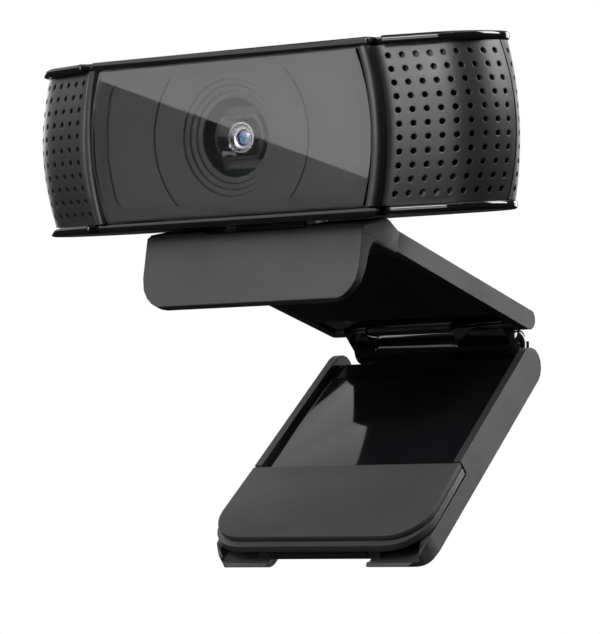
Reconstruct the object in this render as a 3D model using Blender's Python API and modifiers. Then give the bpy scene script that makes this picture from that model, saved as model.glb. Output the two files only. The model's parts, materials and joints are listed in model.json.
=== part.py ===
"""Webcam with a folding monitor clip.

Every length is in metres (MM turns millimetres into metres).  The clip's arm lies level along Y,
with the origin in the middle of the seat on its underside.  +X is the long way of the camera head,
-Y is the front and +Z is up.  The head, the leg and the foot each hang from an empty on their hinge.
"""
import math

import bmesh
import bpy
from mathutils import Matrix, Vector

MM = 0.001

# ---- driving dimensions: camera head ------------------------------------------------------------
HEAD_WIDTH = 94.0 * MM
HEAD_HEIGHT = 29.0 * MM
HEAD_DEPTH = 24.0 * MM
COVER_THICK = 1.5 * MM            # top and bottom covers
COVER_PROUD = 0.35 * MM           # how far the covers stand out past the grilles
WALL = 1.5 * MM                   # moulded walls of the head
GRILLE_THICK = 1.2 * MM
PANEL_HALF = 28.4 * MM            # half width of the front window at mid height
PANEL_BULGE = 2.3 * MM            # how much wider the window is at mid height than at its corners
BEZEL_WIDE = 1.8 * MM             # upright trims beside the window
BEZEL_DEEP = 2.4 * MM
WINDOW_THICK = 0.8 * MM
PLATE_THICK = 1.5 * MM            # moulded plate behind the window
SWEEP_START = Vector((30.6 * MM, 0.9 * MM))    # where the side grille starts
SWEEP_BEND = Vector((39.6 * MM, 3.8 * MM))     # where it starts to turn backwards
SIDE_BULGE = 1.6 * MM             # how much wider the head is at mid height than at its covers
BULGE_LEVELS = 8
SIDE_SEAM = 14.6 * MM             # where the side grille meets the rear housing
REAR_CORNER = 14.0 * MM           # how far in from the side the rear face starts
REAR_TURN = 2.2 * MM              # how far the side runs on behind the seam before it turns in
REAR_FULLNESS = 0.2 * MM

# ---- driving dimensions: lens and electronics ---------------------------------------------------
RING_OPENING = 6.6 * MM           # radius of the opening round the lens
RING_STEP = 1.03 * MM             # width of each concentric step
RING_DEPTH = 0.32 * MM            # depth of each step
RING_STEPS = 3
GUIDE_RADIUS = 15.7 * MM          # light guides, one on each side of the lens
GUIDE_WIDE = 0.6 * MM
GUIDE_ANGLE = math.radians(38)
BARREL_RADIUS = 2.5 * MM
BARREL_LENGTH = 5.5 * MM
BARREL_FRONT = 4.6 * MM           # depth of the lens barrel's front face
LENS_RADIUS = 1.5 * MM
CARRIAGE_WALL = 0.6 * MM
FOCUS_HOUSING = 10.4 * MM         # square body of the focus motor
FOCUS_LENGTH = 6.0 * MM
SENSOR_BOARD = 13.0 * MM
MAIN_BOARD = Vector((66.0 * MM, 1.0 * MM, 19.0 * MM))
BOARD_THICK = 1.0 * MM
MICROPHONE_RADIUS = 2.0 * MM
MICROPHONE_PLACE = Vector((35.6 * MM, 6.6 * MM))
GLAND_RADIUS = 3.2 * MM
GLAND_REACH = 3.5 * MM
CORD_BORE = 1.9 * MM

# ---- driving dimensions: clip arm ---------------------------------------------------------------
ARM_THICK = 3.5 * MM
ARM_REAR = 34.7 * MM              # rear end of the arm, measured back from the seat
LIP_FRONT = 23.4 * MM             # front face of the lip, measured forward from the seat
LIP_THICK = 2.8 * MM
LIP_DROP = 11.5 * MM              # how far the lip hangs below the seat
LIP_CORNER = 5.5 * MM
CLIP_HALF_FRONT = 22.1 * MM       # the clip is a little wider at the lip than at the hinge
CLIP_HALF_REAR = 20.7 * MM
EDGE_ROUND = 0.9 * MM             # outer edges of the leg
ARM_ROUND = 1.3 * MM              # outer edges of the arm and its lip
NOSE_CLEAR = math.radians(24)     # slope planed off the arm's nose for the head's tilt
LINER_INSET = 2.0 * MM
LINER_DEEP = 1.5 * MM
LINER_FACE = 0.4 * MM             # height of the arm liner's underside
SEAT_BACK = 24.0 * MM             # rear edge of the rubber seat
SEAT_FLOOR = 0.6 * MM
PIN_SHORT = 0.4 * MM              # how far the hinge pin's ends lie inside its knuckles

# ---- driving dimensions: hinges -----------------------------------------------------------------
TILT_AXIS = Vector((0, -17.0 * MM, 4.5 * MM))
TILT_IN_HEAD = Vector((0, 13.1 * MM, -14.5 * MM))   # the same axis, seen from the head's centre
HEAD_TILT = math.radians(18.5)    # nose-down angle as modelled
TILT_RADIUS = 1.9 * MM
TILT_HALF = 7.0 * MM              # half width of the arm's knuckle
TILT_EAR = 2.0 * MM
TILT_PIN = 0.7 * MM
NECK_ROOT = 1.7 * MM              # height inside the arm where the knuckle's neck starts
LEG_AXIS = Vector((0, 36.6 * MM, -1.5 * MM))
LEG_OPEN = math.radians(55)       # angle between arm and leg as modelled
KNUCKLE_RADIUS = 2.55 * MM
KNUCKLE_LEFT = -16.7 * MM
KNUCKLE_SPLIT_LEFT = -11.7 * MM
KNUCKLE_SPLIT_RIGHT = 5.6 * MM
KNUCKLE_RIGHT = 16.7 * MM
HINGE_PIN = 1.1 * MM

# ---- driving dimensions: leg and foot, measured from the leg's hinge ----------------------------
LEG_LENGTH = 56.2 * MM
LEG_TOP = 1.3 * MM                # the side walls start this far from the hinge axis
LEG_RIM = 1.8 * MM                # height of the rim above the hinge axis
LEG_BACK = 4.8 * MM               # depth of the back below the hinge axis
LEG_WALL = 1.5 * MM
LEG_FLOOR = 1.4 * MM
TOE_RADIUS = 3.5 * MM
TOE_WALL_TOP = -3.0 * MM
TOE_CORNER = 6.0 * MM             # radius of the toe's corners, seen from above
LEG_LINER_FACE = 0.9 * MM
LINER_NOTCH = 9.0 * MM            # room in the leg's liner for the arm's ears
TRAY_WALL = 1.2 * MM              # walls of the leg's liner
CLEAR = 9.0 * MM                  # well clear of the leg, for the ends of its cutters
FOOT_START = 34.4 * MM
FOOT_LENGTH = 18.8 * MM
FOOT_CORNER = 7.0 * MM
FOOT_NOSE = 1.6 * MM              # how far the plate reaches out past the pad's front edge
FOOT_PLATE_THICK = 1.3 * MM
FOOT_PAD_THICK = 1.0 * MM
FOOT_AXIS = Vector((0, -52.0 * MM, -2.6 * MM))
FOOT_KNUCKLE = 1.6 * MM
FOOT_KNUCKLE_HALF = 10.0 * MM
FOOT_EAR = 2.2 * MM
FOOT_PIN = 0.7 * MM
SOCKET_RADIUS = 4.6 * MM          # tripod socket in the back of the leg
SOCKET_BORE = 2.75 * MM
SOCKET_PLACE = 20.0 * MM

# ---- clearances ---------------------------------------------------------------------------------
GAP = 0.3 * MM                    # between pieces that touch
RUN = 0.3 * MM                    # between pieces that turn or slide on each other

HEAD_CENTRE = TILT_AXIS - Matrix.Rotation(HEAD_TILT, 3, "X") @ TILT_IN_HEAD
X_AXIS = Vector((1, 0, 0))
Y_AXIS = Vector((0, 1, 0))
Z_AXIS = Vector((0, 0, 1))


# ---- scene and helpers --------------------------------------------------------------------------
for old in list(bpy.data.objects):
    bpy.data.objects.remove(old, do_unlink=True)

PARTS = bpy.data.collections.new("webcam")
CUTTERS = bpy.data.collections.new("webcam_cutters")
for group in (PARTS, CUTTERS):
    bpy.context.scene.collection.children.link(group)


def material(name, colour, roughness, metallic=0.0, transmission=0.0):
    made = bpy.data.materials.new(name)
    made.use_nodes = True
    shader = made.node_tree.nodes["Principled BSDF"]
    shader.inputs["Base Color"].default_value = (*colour, 1.0)
    shader.inputs["Roughness"].default_value = roughness
    shader.inputs["Metallic"].default_value = metallic
    shader.inputs["Transmission Weight"].default_value = transmission
    return made


def pivot(name, place, tilt=0.0, parent=None):
    """An empty on a hinge axis; its children turn with it."""
    empty = bpy.data.objects.new(name, None)
    empty.location = place
    empty.rotation_euler = (tilt, 0, 0)
    empty.parent = parent
    PARTS.objects.link(empty)
    return empty


def finish_object(obj, look, parent, place):
    """Give a part and its cutters their material, their parent and their place in its frame."""
    if look is not None:
        obj.data.materials.clear()
        obj.data.materials.append(look)
    cutters = [step.object for step in obj.modifiers if step.type == "BOOLEAN"]
    for placed in (obj, *cutters):
        placed.parent = parent
        placed.location = place
    obj.data.shade_smooth()
    obj.data.set_sharp_from_angle(angle=math.radians(35))
    return obj


def as_cutter(obj):
    obj.hide_render = True
    obj.display_type = "WIRE"
    PARTS.objects.unlink(obj)
    CUTTERS.objects.link(obj)
    return obj


def from_bmesh(name, mesh):
    data = bpy.data.meshes.new(name)
    mesh.to_mesh(data)
    mesh.free()
    obj = bpy.data.objects.new(name, data)
    PARTS.objects.link(obj)
    return obj


def box(name, low, high):
    """A block between two corners."""
    low, high = Vector(low), Vector(high)
    mesh = bmesh.new()
    bmesh.ops.create_cube(mesh, size=1.0)
    size = Matrix.Diagonal((*(high - low), 1.0))
    bmesh.ops.transform(mesh, matrix=Matrix.Translation((low + high) / 2) @ size, verts=mesh.verts)
    return from_bmesh(name, mesh)


def rod(name, axis, start, length, radius, end_radius=None, segments=24):
    """A round bar along an axis from its start point."""
    mesh = bmesh.new()
    bmesh.ops.create_cone(mesh, cap_ends=True, segments=segments, radius1=radius,
                          radius2=radius if end_radius is None else end_radius, depth=length)
    turn = Z_AXIS.rotation_difference(axis).to_matrix().to_4x4()
    centre = Vector(start) + axis * length / 2
    bmesh.ops.transform(mesh, matrix=Matrix.Translation(centre) @ turn, verts=mesh.verts)
    return from_bmesh(name, mesh)


def turned(name, profile, segments=40):
    """A solid turned about the Y axis from (radius, depth) points that run down the outer side."""
    data = bpy.data.meshes.new(name)
    points = [(radius, 0, -depth) for radius, depth in profile]
    data.from_pydata(points, [(i, (i + 1) % len(points)) for i in range(len(points))], [])
    obj = bpy.data.objects.new(name, data)
    PARTS.objects.link(obj)
    screw = obj.modifiers.new("turn", "SCREW")
    screw.steps = screw.render_steps = segments
    screw.use_merge_vertices = True
    screw.merge_threshold = 0.00001
    solid = applied(obj)
    solid.data.transform(Matrix.Rotation(math.radians(90), 4, "X"))
    return solid


def applied(obj):
    """The object with its modifiers or curve made into a plain closed mesh."""
    name = obj.name
    depsgraph = bpy.context.evaluated_depsgraph_get()
    data = bpy.data.meshes.new_from_object(obj.evaluated_get(depsgraph))
    bpy.data.objects.remove(obj, do_unlink=True)
    mesh = bmesh.new()
    mesh.from_mesh(data)
    bmesh.ops.remove_doubles(mesh, verts=mesh.verts, dist=0.000002)
    bmesh.ops.recalc_face_normals(mesh, faces=mesh.faces)
    mesh.to_mesh(data)
    mesh.free()
    solid = bpy.data.objects.new(name, data)
    PARTS.objects.link(solid)
    return solid


def slab(name, outline, low, high, normal="Z"):
    """A flat outline given thickness along one axis, between two heights.

    The outline's two numbers are (X, Y) for Z, (X, Z) for Y and (Y, Z) for X.
    """
    curve = bpy.data.curves.new(name, "CURVE")
    curve.dimensions = "2D"
    curve.fill_mode = "BOTH"
    curve.extrude = (high - low) / 2
    spline = curve.splines.new("POLY")
    spline.points.add(len(outline) - 1)
    for point, (a, b) in zip(spline.points, outline):
        point.co = (a, b, 0, 1)
    spline.use_cyclic_u = True
    obj = bpy.data.objects.new(name, curve)
    PARTS.objects.link(obj)
    solid = applied(obj)
    middle = (low + high) / 2
    turns = {
        "Z": Matrix.Translation((0, 0, middle)),
        "Y": Matrix(((1, 0, 0, 0), (0, 0, 1, middle), (0, 1, 0, 0), (0, 0, 0, 1))),
        "X": Matrix(((0, 0, 1, middle), (1, 0, 0, 0), (0, 1, 0, 0), (0, 0, 0, 1))),
    }
    solid.data.transform(turns[normal])
    if turns[normal].determinant() < 0:
        solid.data.flip_normals()
    return solid


def cut(obj, cutter):
    step = obj.modifiers.new("cut", "BOOLEAN")
    step.operation = "DIFFERENCE"
    step.object = as_cutter(cutter) if cutter.name in PARTS.objects else cutter
    return obj


def join(obj, other):
    """Weld another solid to this one."""
    step = obj.modifiers.new("weld", "BOOLEAN")
    step.operation = "UNION"
    step.object = as_cutter(other)
    return obj


def soften(obj, width, segments=2, angle=50):
    """Rounded edges wherever two faces meet at more than the given angle."""
    step = obj.modifiers.new("edges", "BEVEL")
    step.width = width
    step.segments = segments
    step.limit_method = "ANGLE"
    step.angle_limit = math.radians(angle)
    return obj


def arc(centre, radius, start, end, steps):
    """Points of a circular arc, ends included, angles in degrees."""
    turn = [math.radians(start + (end - start) * i / steps) for i in range(steps + 1)]
    return [(centre[0] + radius * math.cos(a), centre[1] + radius * math.sin(a)) for a in turn]


def mirror_x(points):
    return [(-x, y) for x, y in reversed(points)]


def sliced(obj, normal, levels):
    """Add rings of edges at these levels along the normal, so that the sides can curve."""
    mesh = bmesh.new()
    mesh.from_mesh(obj.data)
    for level in levels:
        bmesh.ops.bisect_plane(mesh, geom=mesh.verts[:] + mesh.edges[:] + mesh.faces[:],
                               plane_co=level * Vector(normal), plane_no=normal, dist=0.0000001)
    mesh.to_mesh(obj.data)
    mesh.free()
    return obj


def squeezed(obj, half_width):
    """Bring each side of a solid in or out to half_width(y, z)."""
    for vertex in obj.data.vertices:
        side = math.copysign(1.0, vertex.co.x)
        vertex.co.x = side * half_width(vertex.co.y, vertex.co.z)
    return obj


BLACK_MATTE = material("matte_black_shell", (0.030, 0.030, 0.032), 0.55)
BLACK_GLOSS = material("gloss_black_trim", (0.006, 0.006, 0.007), 0.08)
BLACK_RUBBER = material("rubber_pad", (0.022, 0.022, 0.023), 0.80)
GRILLE_BLACK = material("grille_black", (0.014, 0.014, 0.015), 0.32)
PLATE_GREY = material("textured_plate", (0.060, 0.060, 0.063), 0.50)
CLEAR_WINDOW = material("clear_window", (0.90, 0.92, 0.95), 0.03, transmission=1.0)
LENS_GLASS = material("lens_glass", (0.10, 0.20, 0.35), 0.02, transmission=0.8)
STEEL = material("steel", (0.55, 0.55, 0.57), 0.30, metallic=1.0)
BRASS = material("brass", (0.60, 0.45, 0.20), 0.35, metallic=1.0)
BOARD_GREEN = material("circuit_board", (0.02, 0.10, 0.05), 0.45)
GUIDE_SMOKE = material("light_guide", (0.10, 0.11, 0.13), 0.20)

TILT_PIVOT = pivot("head_tilt_axis", TILT_AXIS, HEAD_TILT)
LEG_PIVOT = pivot("leg_fold_axis", LEG_AXIS, LEG_OPEN)
FOOT_PIVOT = pivot("foot_flip_axis", FOOT_AXIS, 0.0, LEG_PIVOT)
HEAD_OFFSET = -TILT_IN_HEAD


def head_part(obj, look):
    """Parts of the head are drawn about the head's centre."""
    return finish_object(obj, look, TILT_PIVOT, HEAD_OFFSET)


def clip_part(obj, look):
    return finish_object(obj, look, None, (0, 0, 0))


def leg_part(obj, look):
    """Parts of the leg are drawn about the leg's hinge, with the leg pointing along -Y."""
    return finish_object(obj, look, LEG_PIVOT, (0, 0, 0))


def foot_part(obj, look):
    """Parts of the foot are drawn in the leg's frame and hang from the foot's pin."""
    return finish_object(obj, look, FOOT_PIVOT, -FOOT_AXIS)


# ---- head: outline seen from above --------------------------------------------------------------
def bezier(a, b, c, d, steps):
    made = []
    for i in range(1, steps + 1):
        t = i / steps
        u = 1 - t
        made.append(u * u * u * a + 3 * u * u * t * b + 3 * u * t * t * c + t * t * t * d)
    return made


def side_line():
    """The right side's outline from the window's edge back to the seam."""
    seam = Vector((HEAD_WIDTH / 2, SIDE_SEAM))
    slope = (SWEEP_BEND - SWEEP_START).normalized()
    reach = 0.3 * (seam - SWEEP_BEND).length
    turn = bezier(SWEEP_BEND, SWEEP_BEND + slope * reach, seam - Vector((0.1 * reach, 1.8 * reach)),
                  seam, 9)
    return [SWEEP_START.copy(), (SWEEP_START + SWEEP_BEND) / 2, SWEEP_BEND.copy()] + turn


def offset(line, distance):
    """The line moved sideways, outwards for a positive distance."""
    moved = []
    for i, point in enumerate(line):
        before = line[max(i - 1, 0)]
        after = line[min(i + 1, len(line) - 1)]
        along = (after - before).normalized()
        moved.append(point + Vector((along.y, -along.x)) * distance)
    return moved


def rear_line(inset):
    """The right side from the seam round the tapering rear corner, moved inwards by inset."""
    seam = Vector((HEAD_WIDTH / 2, SIDE_SEAM))
    flank = Vector((HEAD_WIDTH / 2 + REAR_FULLNESS, SIDE_SEAM + REAR_TURN))
    rear = Vector((HEAD_WIDTH / 2 - REAR_CORNER, HEAD_DEPTH))
    line = [seam] + bezier(seam, flank, rear + Vector((0.68 * REAR_CORNER, 0)), rear, 8)
    return [tuple(p) for p in offset(line, -inset)[1:]]


def end_share(x):
    """0 at the window's edge, growing to 1 at the end of the head."""
    start = SWEEP_START.x
    return max(0.0, (abs(x) - start) / (HEAD_WIDTH / 2 - start))


def plan(inset, front):
    """Whole outline of a cover from above, with a flat front at the given depth."""
    right = [(p.x, max(p.y, front)) for p in offset(side_line(), -inset)]
    right += rear_line(inset)
    right = [(x - SIDE_BULGE * end_share(x), y) for x, y in right]
    return right + mirror_x(right)


def bulged(obj):
    """Let the ends of a head part bulge outwards at mid height."""
    levels = [FRAME_HALF_HEIGHT * (2 * i / BULGE_LEVELS - 1) for i in range(1, BULGE_LEVELS)]
    sliced(obj, Z_AXIS, levels)
    for vertex in obj.data.vertices:
        pull = SIDE_BULGE * end_share(vertex.co.x) * (vertex.co.z / FRAME_HALF_HEIGHT) ** 2
        vertex.co.x -= math.copysign(pull, vertex.co.x)
    return obj


# ---- head: shells -------------------------------------------------------------------------------
INNER_HALF_HEIGHT = HEAD_HEIGHT / 2 - COVER_THICK
FRAME_HALF_HEIGHT = INNER_HALF_HEIGHT - GAP
HOUSING_FRONT = WINDOW_THICK + PLATE_THICK + 3 * GAP
HOUSING_SPLIT = 12.6 * MM
HINGE_HALF = TILT_HALF + RUN + TILT_EAR + RUN


def panel_outline(half, half_height, bulge, steps=8):
    """An upright panel whose two ends bulge outwards in an arc."""
    right = []
    for i in range(steps + 1):
        z = half_height * (2 * i / steps - 1)
        right.append((half - bulge * (z / half_height) ** 2, z))
    return right + mirror_x(right)


def build_covers():
    outline = plan(-COVER_PROUD, -COVER_PROUD)
    for name, sign in (("top_cover", 1), ("bottom_cover", -1)):
        ends = sorted((sign * INNER_HALF_HEIGHT, sign * HEAD_HEIGHT / 2))
        cover = slab(name, outline, *ends)
        if sign < 0:
            room = TILT_RADIUS + 2 * RUN
            cut(cover, box("hinge_slot",
                           (-HINGE_HALF, TILT_IN_HEAD.y - room, -HEAD_HEIGHT),
                           (HINGE_HALF, TILT_IN_HEAD.y + room, 0)))
        soften(cover, 0.5 * MM)
        head_part(cover, BLACK_GLOSS)


def build_grilles():
    """Side grilles: curved plates whose front edge follows the window's upright trims."""
    line = side_line()
    slope = (line[2] - line[0]).normalized()
    line[0] = line[0] - slope * PANEL_BULGE * 1.3
    inner = offset(line, -GRILLE_THICK)
    outline = [tuple(p) for p in line] + [tuple(p) for p in reversed(inner)]
    room = panel_outline(PANEL_HALF + 2 * GAP + BEZEL_WIDE, HEAD_HEIGHT / 2, PANEL_BULGE)
    for name, points in (("right_grille", outline), ("left_grille", mirror_x(outline))):
        grille = bulged(slab(name, points, -FRAME_HALF_HEIGHT, FRAME_HALF_HEIGHT))
        cut(grille, slab(name + "_front_edge", room, -GRILLE_THICK, HEAD_DEPTH / 2, "Y"))
        head_part(grille, GRILLE_BLACK)


def build_front_housing():
    """Walls behind the window and the grilles, open at the back for the electronics."""
    outer = [p for p in offset(side_line(), -(GRILLE_THICK + GAP)) if p.y <= HOUSING_SPLIT - GAP]
    outer = [Vector((p.x - SIDE_BULGE * end_share(p.x), max(p.y, HOUSING_FRONT))) for p in outer]
    inner = [p - Vector((WALL, -WALL if p.y < HOUSING_FRONT + WALL else 0)) for p in outer]
    end = HOUSING_SPLIT - GAP
    right = [(p.x, p.y) for p in outer] + [(outer[-1].x, end), (outer[-1].x - WALL, end)]
    right += [(p.x, p.y) for p in reversed(inner)]
    half = [(0, HOUSING_FRONT)] + right + [(0, HOUSING_FRONT + WALL)]
    walls = slab("front_housing", half[1:-1] + mirror_x(half[1:-1]), -FRAME_HALF_HEIGHT,
                 FRAME_HALF_HEIGHT)
    well = RING_OPENING + RING_STEPS * RING_STEP
    cut(walls, rod("well_hole", Y_AXIS, (0, HOUSING_FRONT - WALL, 0), 3 * WALL, well, segments=40))
    head_part(walls, BLACK_MATTE)


def build_rear_housing():
    """Rounded rear wall with two side cheeks that meet the grilles."""
    start = SIDE_SEAM + GAP
    outer = [(HEAD_WIDTH / 2, start)] + rear_line(0)
    inner = rear_line(WALL)
    right = outer + mirror_x(outer)
    shell = slab("rear_housing", right + list(reversed(
        [(HEAD_WIDTH / 2 - WALL, start)] + inner + mirror_x(inner) + [(WALL - HEAD_WIDTH / 2, start)]
    )), -FRAME_HALF_HEIGHT, FRAME_HALF_HEIGHT)
    bulged(shell)
    cut(shell, rod("gland_hole", Y_AXIS, (0, HEAD_DEPTH - 3 * WALL, 0), 6 * WALL,
                   GLAND_RADIUS + GAP))
    head_part(shell, BLACK_MATTE)


def build_window():
    """Clear window, its two upright trims and the moulded plate behind it."""
    clear = panel_outline(PANEL_HALF, FRAME_HALF_HEIGHT, PANEL_BULGE)
    head_part(slab("front_window", clear, 0, WINDOW_THICK, "Y"), CLEAR_WINDOW)
    near = panel_outline(PANEL_HALF + GAP, FRAME_HALF_HEIGHT, PANEL_BULGE)
    far = panel_outline(PANEL_HALF + GAP + BEZEL_WIDE, FRAME_HALF_HEIGHT, PANEL_BULGE)
    count = len(near) // 2
    strip = far[:count] + list(reversed(near[:count]))
    for name, points in (("right_bezel", strip), ("left_bezel", mirror_x(strip))):
        head_part(slab(name, points, 0.1 * MM, BEZEL_DEEP, "Y"), BLACK_GLOSS)
    plate = panel_outline(PANEL_HALF - GAP, FRAME_HALF_HEIGHT, PANEL_BULGE)
    front = WINDOW_THICK + GAP
    body = slab("lens_plate", plate, front, front + PLATE_THICK, "Y")
    for step in range(RING_STEPS + 1):
        radius = RING_OPENING + (RING_STEPS - step) * RING_STEP
        deep = front + (step + 1) * RING_DEPTH if step < RING_STEPS else front + 2 * PLATE_THICK
        cut(body, rod(f"ring_step_{step}", Y_AXIS, (0, 0, 0), deep, radius, segments=48))
    for side in (-1, 1):
        cut(body, light_guide(f"guide_slot_{side}", side, GUIDE_WIDE / 2 + GAP, 0,
                              front + 2 * PLATE_THICK, math.radians(2)))
    head_part(body, PLATE_GREY)
    for name, side in (("left_light_guide", -1), ("right_light_guide", 1)):
        guide = light_guide(name, side, GUIDE_WIDE / 2, front, front + PLATE_THICK, 0)
        head_part(guide, GUIDE_SMOKE)


def light_guide(name, side, half_wide, low, high, extra):
    """A thin strip bent round the lens on one side."""
    reach = math.degrees(GUIDE_ANGLE + extra)
    outer = arc((0, 0), GUIDE_RADIUS + half_wide, -reach, reach, 14)
    inner = arc((0, 0), GUIDE_RADIUS - half_wide, reach, -reach, 14)
    points = outer + inner
    return slab(name, points if side > 0 else mirror_x(points), low, high, "Y")


# ---- head: lens and electronics -----------------------------------------------------------------
CARRIAGE_OUTER = BARREL_RADIUS + RUN + CARRIAGE_WALL
FOCUS_FRONT = BARREL_FRONT + 1.2 * MM
FOCUS_REAR = FOCUS_FRONT + FOCUS_LENGTH


def build_lens():
    shade_front = WINDOW_THICK + PLATE_THICK + 2 * GAP
    shade = turned("lens_shade", [
        (RING_OPENING - GAP, shade_front), (RING_OPENING - GAP, shade_front + 1.6 * MM),
        (BARREL_RADIUS + RUN, shade_front + 1.6 * MM), (BARREL_RADIUS + RUN, shade_front + 0.9 * MM),
        (RING_OPENING - 1.2 * MM, shade_front + 0.4 * MM), (RING_OPENING - 1.2 * MM, shade_front)])
    head_part(shade, BLACK_GLOSS)
    half = FOCUS_HOUSING / 2
    body = box("focus_housing", (-half, FOCUS_FRONT, -half), (half, FOCUS_REAR, half))
    cut(body, rod("focus_bore", Y_AXIS, (0, 0, 0), 2 * FOCUS_REAR, CARRIAGE_OUTER + RUN))
    head_part(body, BLACK_MATTE)
    carriage = turned("focus_carriage", [
        (CARRIAGE_OUTER, FOCUS_FRONT + RUN), (CARRIAGE_OUTER, FOCUS_REAR - 2 * RUN),
        (BARREL_RADIUS + RUN, FOCUS_REAR - 2 * RUN), (BARREL_RADIUS + RUN, FOCUS_FRONT + RUN)])
    head_part(carriage, GRILLE_BLACK)
    rear = BARREL_FRONT + BARREL_LENGTH
    barrel = turned("lens_barrel", [
        (BARREL_RADIUS, BARREL_FRONT), (BARREL_RADIUS, rear),
        (LENS_RADIUS + GAP, rear), (LENS_RADIUS + GAP, BARREL_FRONT + 0.5 * MM),
        (BARREL_RADIUS - 0.4 * MM, BARREL_FRONT)])
    head_part(barrel, BLACK_GLOSS)
    glass_front = BARREL_FRONT + 0.6 * MM
    glass = turned("lens_glass", [
        (0, glass_front), (LENS_RADIUS * 0.5, glass_front + 0.06 * MM),
        (LENS_RADIUS * 0.85, glass_front + 0.25 * MM), (LENS_RADIUS, glass_front + 0.5 * MM),
        (LENS_RADIUS, glass_front + 3.0 * MM), (0, glass_front + 3.0 * MM)])
    head_part(glass, LENS_GLASS)


def build_boards():
    half = SENSOR_BOARD / 2
    front = FOCUS_REAR + GAP
    sensor = box("sensor_board", (-half, front, -half), (half, front + BOARD_THICK, half))
    head_part(sensor, BOARD_GREEN)
    front += BOARD_THICK + 2.5 * MM
    wide, thick, tall = MAIN_BOARD
    board = box("main_board", (-wide / 2, front, -tall / 2), (wide / 2, front + thick, tall / 2))
    for side in (-1, 1):
        place = (side * (wide / 2 - 3 * MM), front - thick, 0)
        cut(board, rod(f"board_hole_{side}", Y_AXIS, place, 3 * thick, 1.0 * MM + GAP))
    head_part(board, BOARD_GREEN)
    for name, side in (("left_board_screw", -1), ("right_board_screw", 1)):
        x = side * (wide / 2 - 3 * MM)
        screw = rod(name, Y_AXIS, (x, front - GAP - 1.0 * MM, 0), 1.0 * MM, 1.8 * MM)
        join(screw, rod(name + "_shank", Y_AXIS, (x, front - GAP - 0.5 * MM, 0), 4.0 * MM, 1.0 * MM))
        head_part(screw, STEEL)
    for name, side in (("left_microphone", -1), ("right_microphone", 1)):
        place = (side * MICROPHONE_PLACE.x, MICROPHONE_PLACE.y, 0)
        head_part(rod(name, Y_AXIS, place, 1.8 * MM, MICROPHONE_RADIUS), STEEL)


def build_gland():
    inside = HEAD_DEPTH - WALL - 1.5 * MM
    gland = turned("cord_gland", [
        (GLAND_RADIUS, inside), (GLAND_RADIUS, HEAD_DEPTH + 0.6 * MM),
        (GLAND_RADIUS - 0.7 * MM, HEAD_DEPTH + GLAND_REACH),
        (CORD_BORE, HEAD_DEPTH + GLAND_REACH), (CORD_BORE, inside)])
    head_part(gland, BLACK_RUBBER)


def build_tilt_bracket():
    """Steel plate inside the head with two ears that reach down to the tilt pin."""
    centre = TILT_IN_HEAD
    floor = centre.z + TILT_RADIUS + 2 * RUN
    reach = 4.0 * MM
    plate = box("tilt_bracket", (-HINGE_HALF - 2 * MM, centre.y - reach, floor),
                (HINGE_HALF + 2 * MM, centre.y + reach, floor + 1.2 * MM))
    for side in (-1, 1):
        near, far = sorted((side * (TILT_HALF + RUN), side * (TILT_HALF + RUN + TILT_EAR - 0.2 * MM)))
        round_end = arc((centre.y, centre.z), TILT_RADIUS, 180, 360, 8)
        ear = round_end + [(centre.y + TILT_RADIUS, floor + 0.6 * MM),
                           (centre.y - TILT_RADIUS, floor + 0.6 * MM)]
        join(plate, slab(f"tilt_ear_{side}", ear, near, far, "X"))
    cut(plate, rod("tilt_bore", X_AXIS, (-HEAD_WIDTH / 2, centre.y, centre.z), HEAD_WIDTH,
                   TILT_PIN + RUN))
    head_part(plate, STEEL)


# ---- clip arm -----------------------------------------------------------------------------------
def clip_half(distance_back):
    """Half width of the clip: a straight taper from the lip to the hinge."""
    share = (distance_back + LIP_FRONT) / (LEG_AXIS.y + LIP_FRONT)
    return CLIP_HALF_FRONT + (CLIP_HALF_REAR - CLIP_HALF_FRONT) * share


def arm_half(y, z):
    """Half width of the arm, with the lip's lower corners rounded off."""
    half = clip_half(y)
    above = z + LIP_DROP
    if above < LIP_CORNER:
        half -= LIP_CORNER - math.sqrt(max(LIP_CORNER ** 2 - (LIP_CORNER - above) ** 2, 0.0))
    return half


def arm_profile():
    """Side view of the arm and its lip, as (Y, Z)."""
    front, inner = -LIP_FRONT, -LIP_FRONT + LIP_THICK
    radius = ARM_THICK / 2
    rear = arc((ARM_REAR - radius, radius), radius, 90, -90, 6)
    fillet = arc((inner + 3 * MM, -3 * MM), 3 * MM, 90, 180, 4)
    nose = TILT_AXIS.y - 1.0 * MM
    nose_drop = (nose - front) * math.tan(NOSE_CLEAR)
    levels = [-LIP_DROP + LIP_CORNER * share for share in (0.06, 0.18, 0.36, 0.62, 1.0)]
    lean = 0.06
    down = [(inner + lean * level, level) for level in reversed(levels)]
    up = [(front - lean * level, level) for level in levels]
    tip = [((inner + front) / 2 + lean * LIP_DROP, -LIP_DROP)]
    return rear + fillet + down + tip + up + [(front, 0), (front, ARM_THICK - nose_drop),
                                              (nose, ARM_THICK)]


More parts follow.
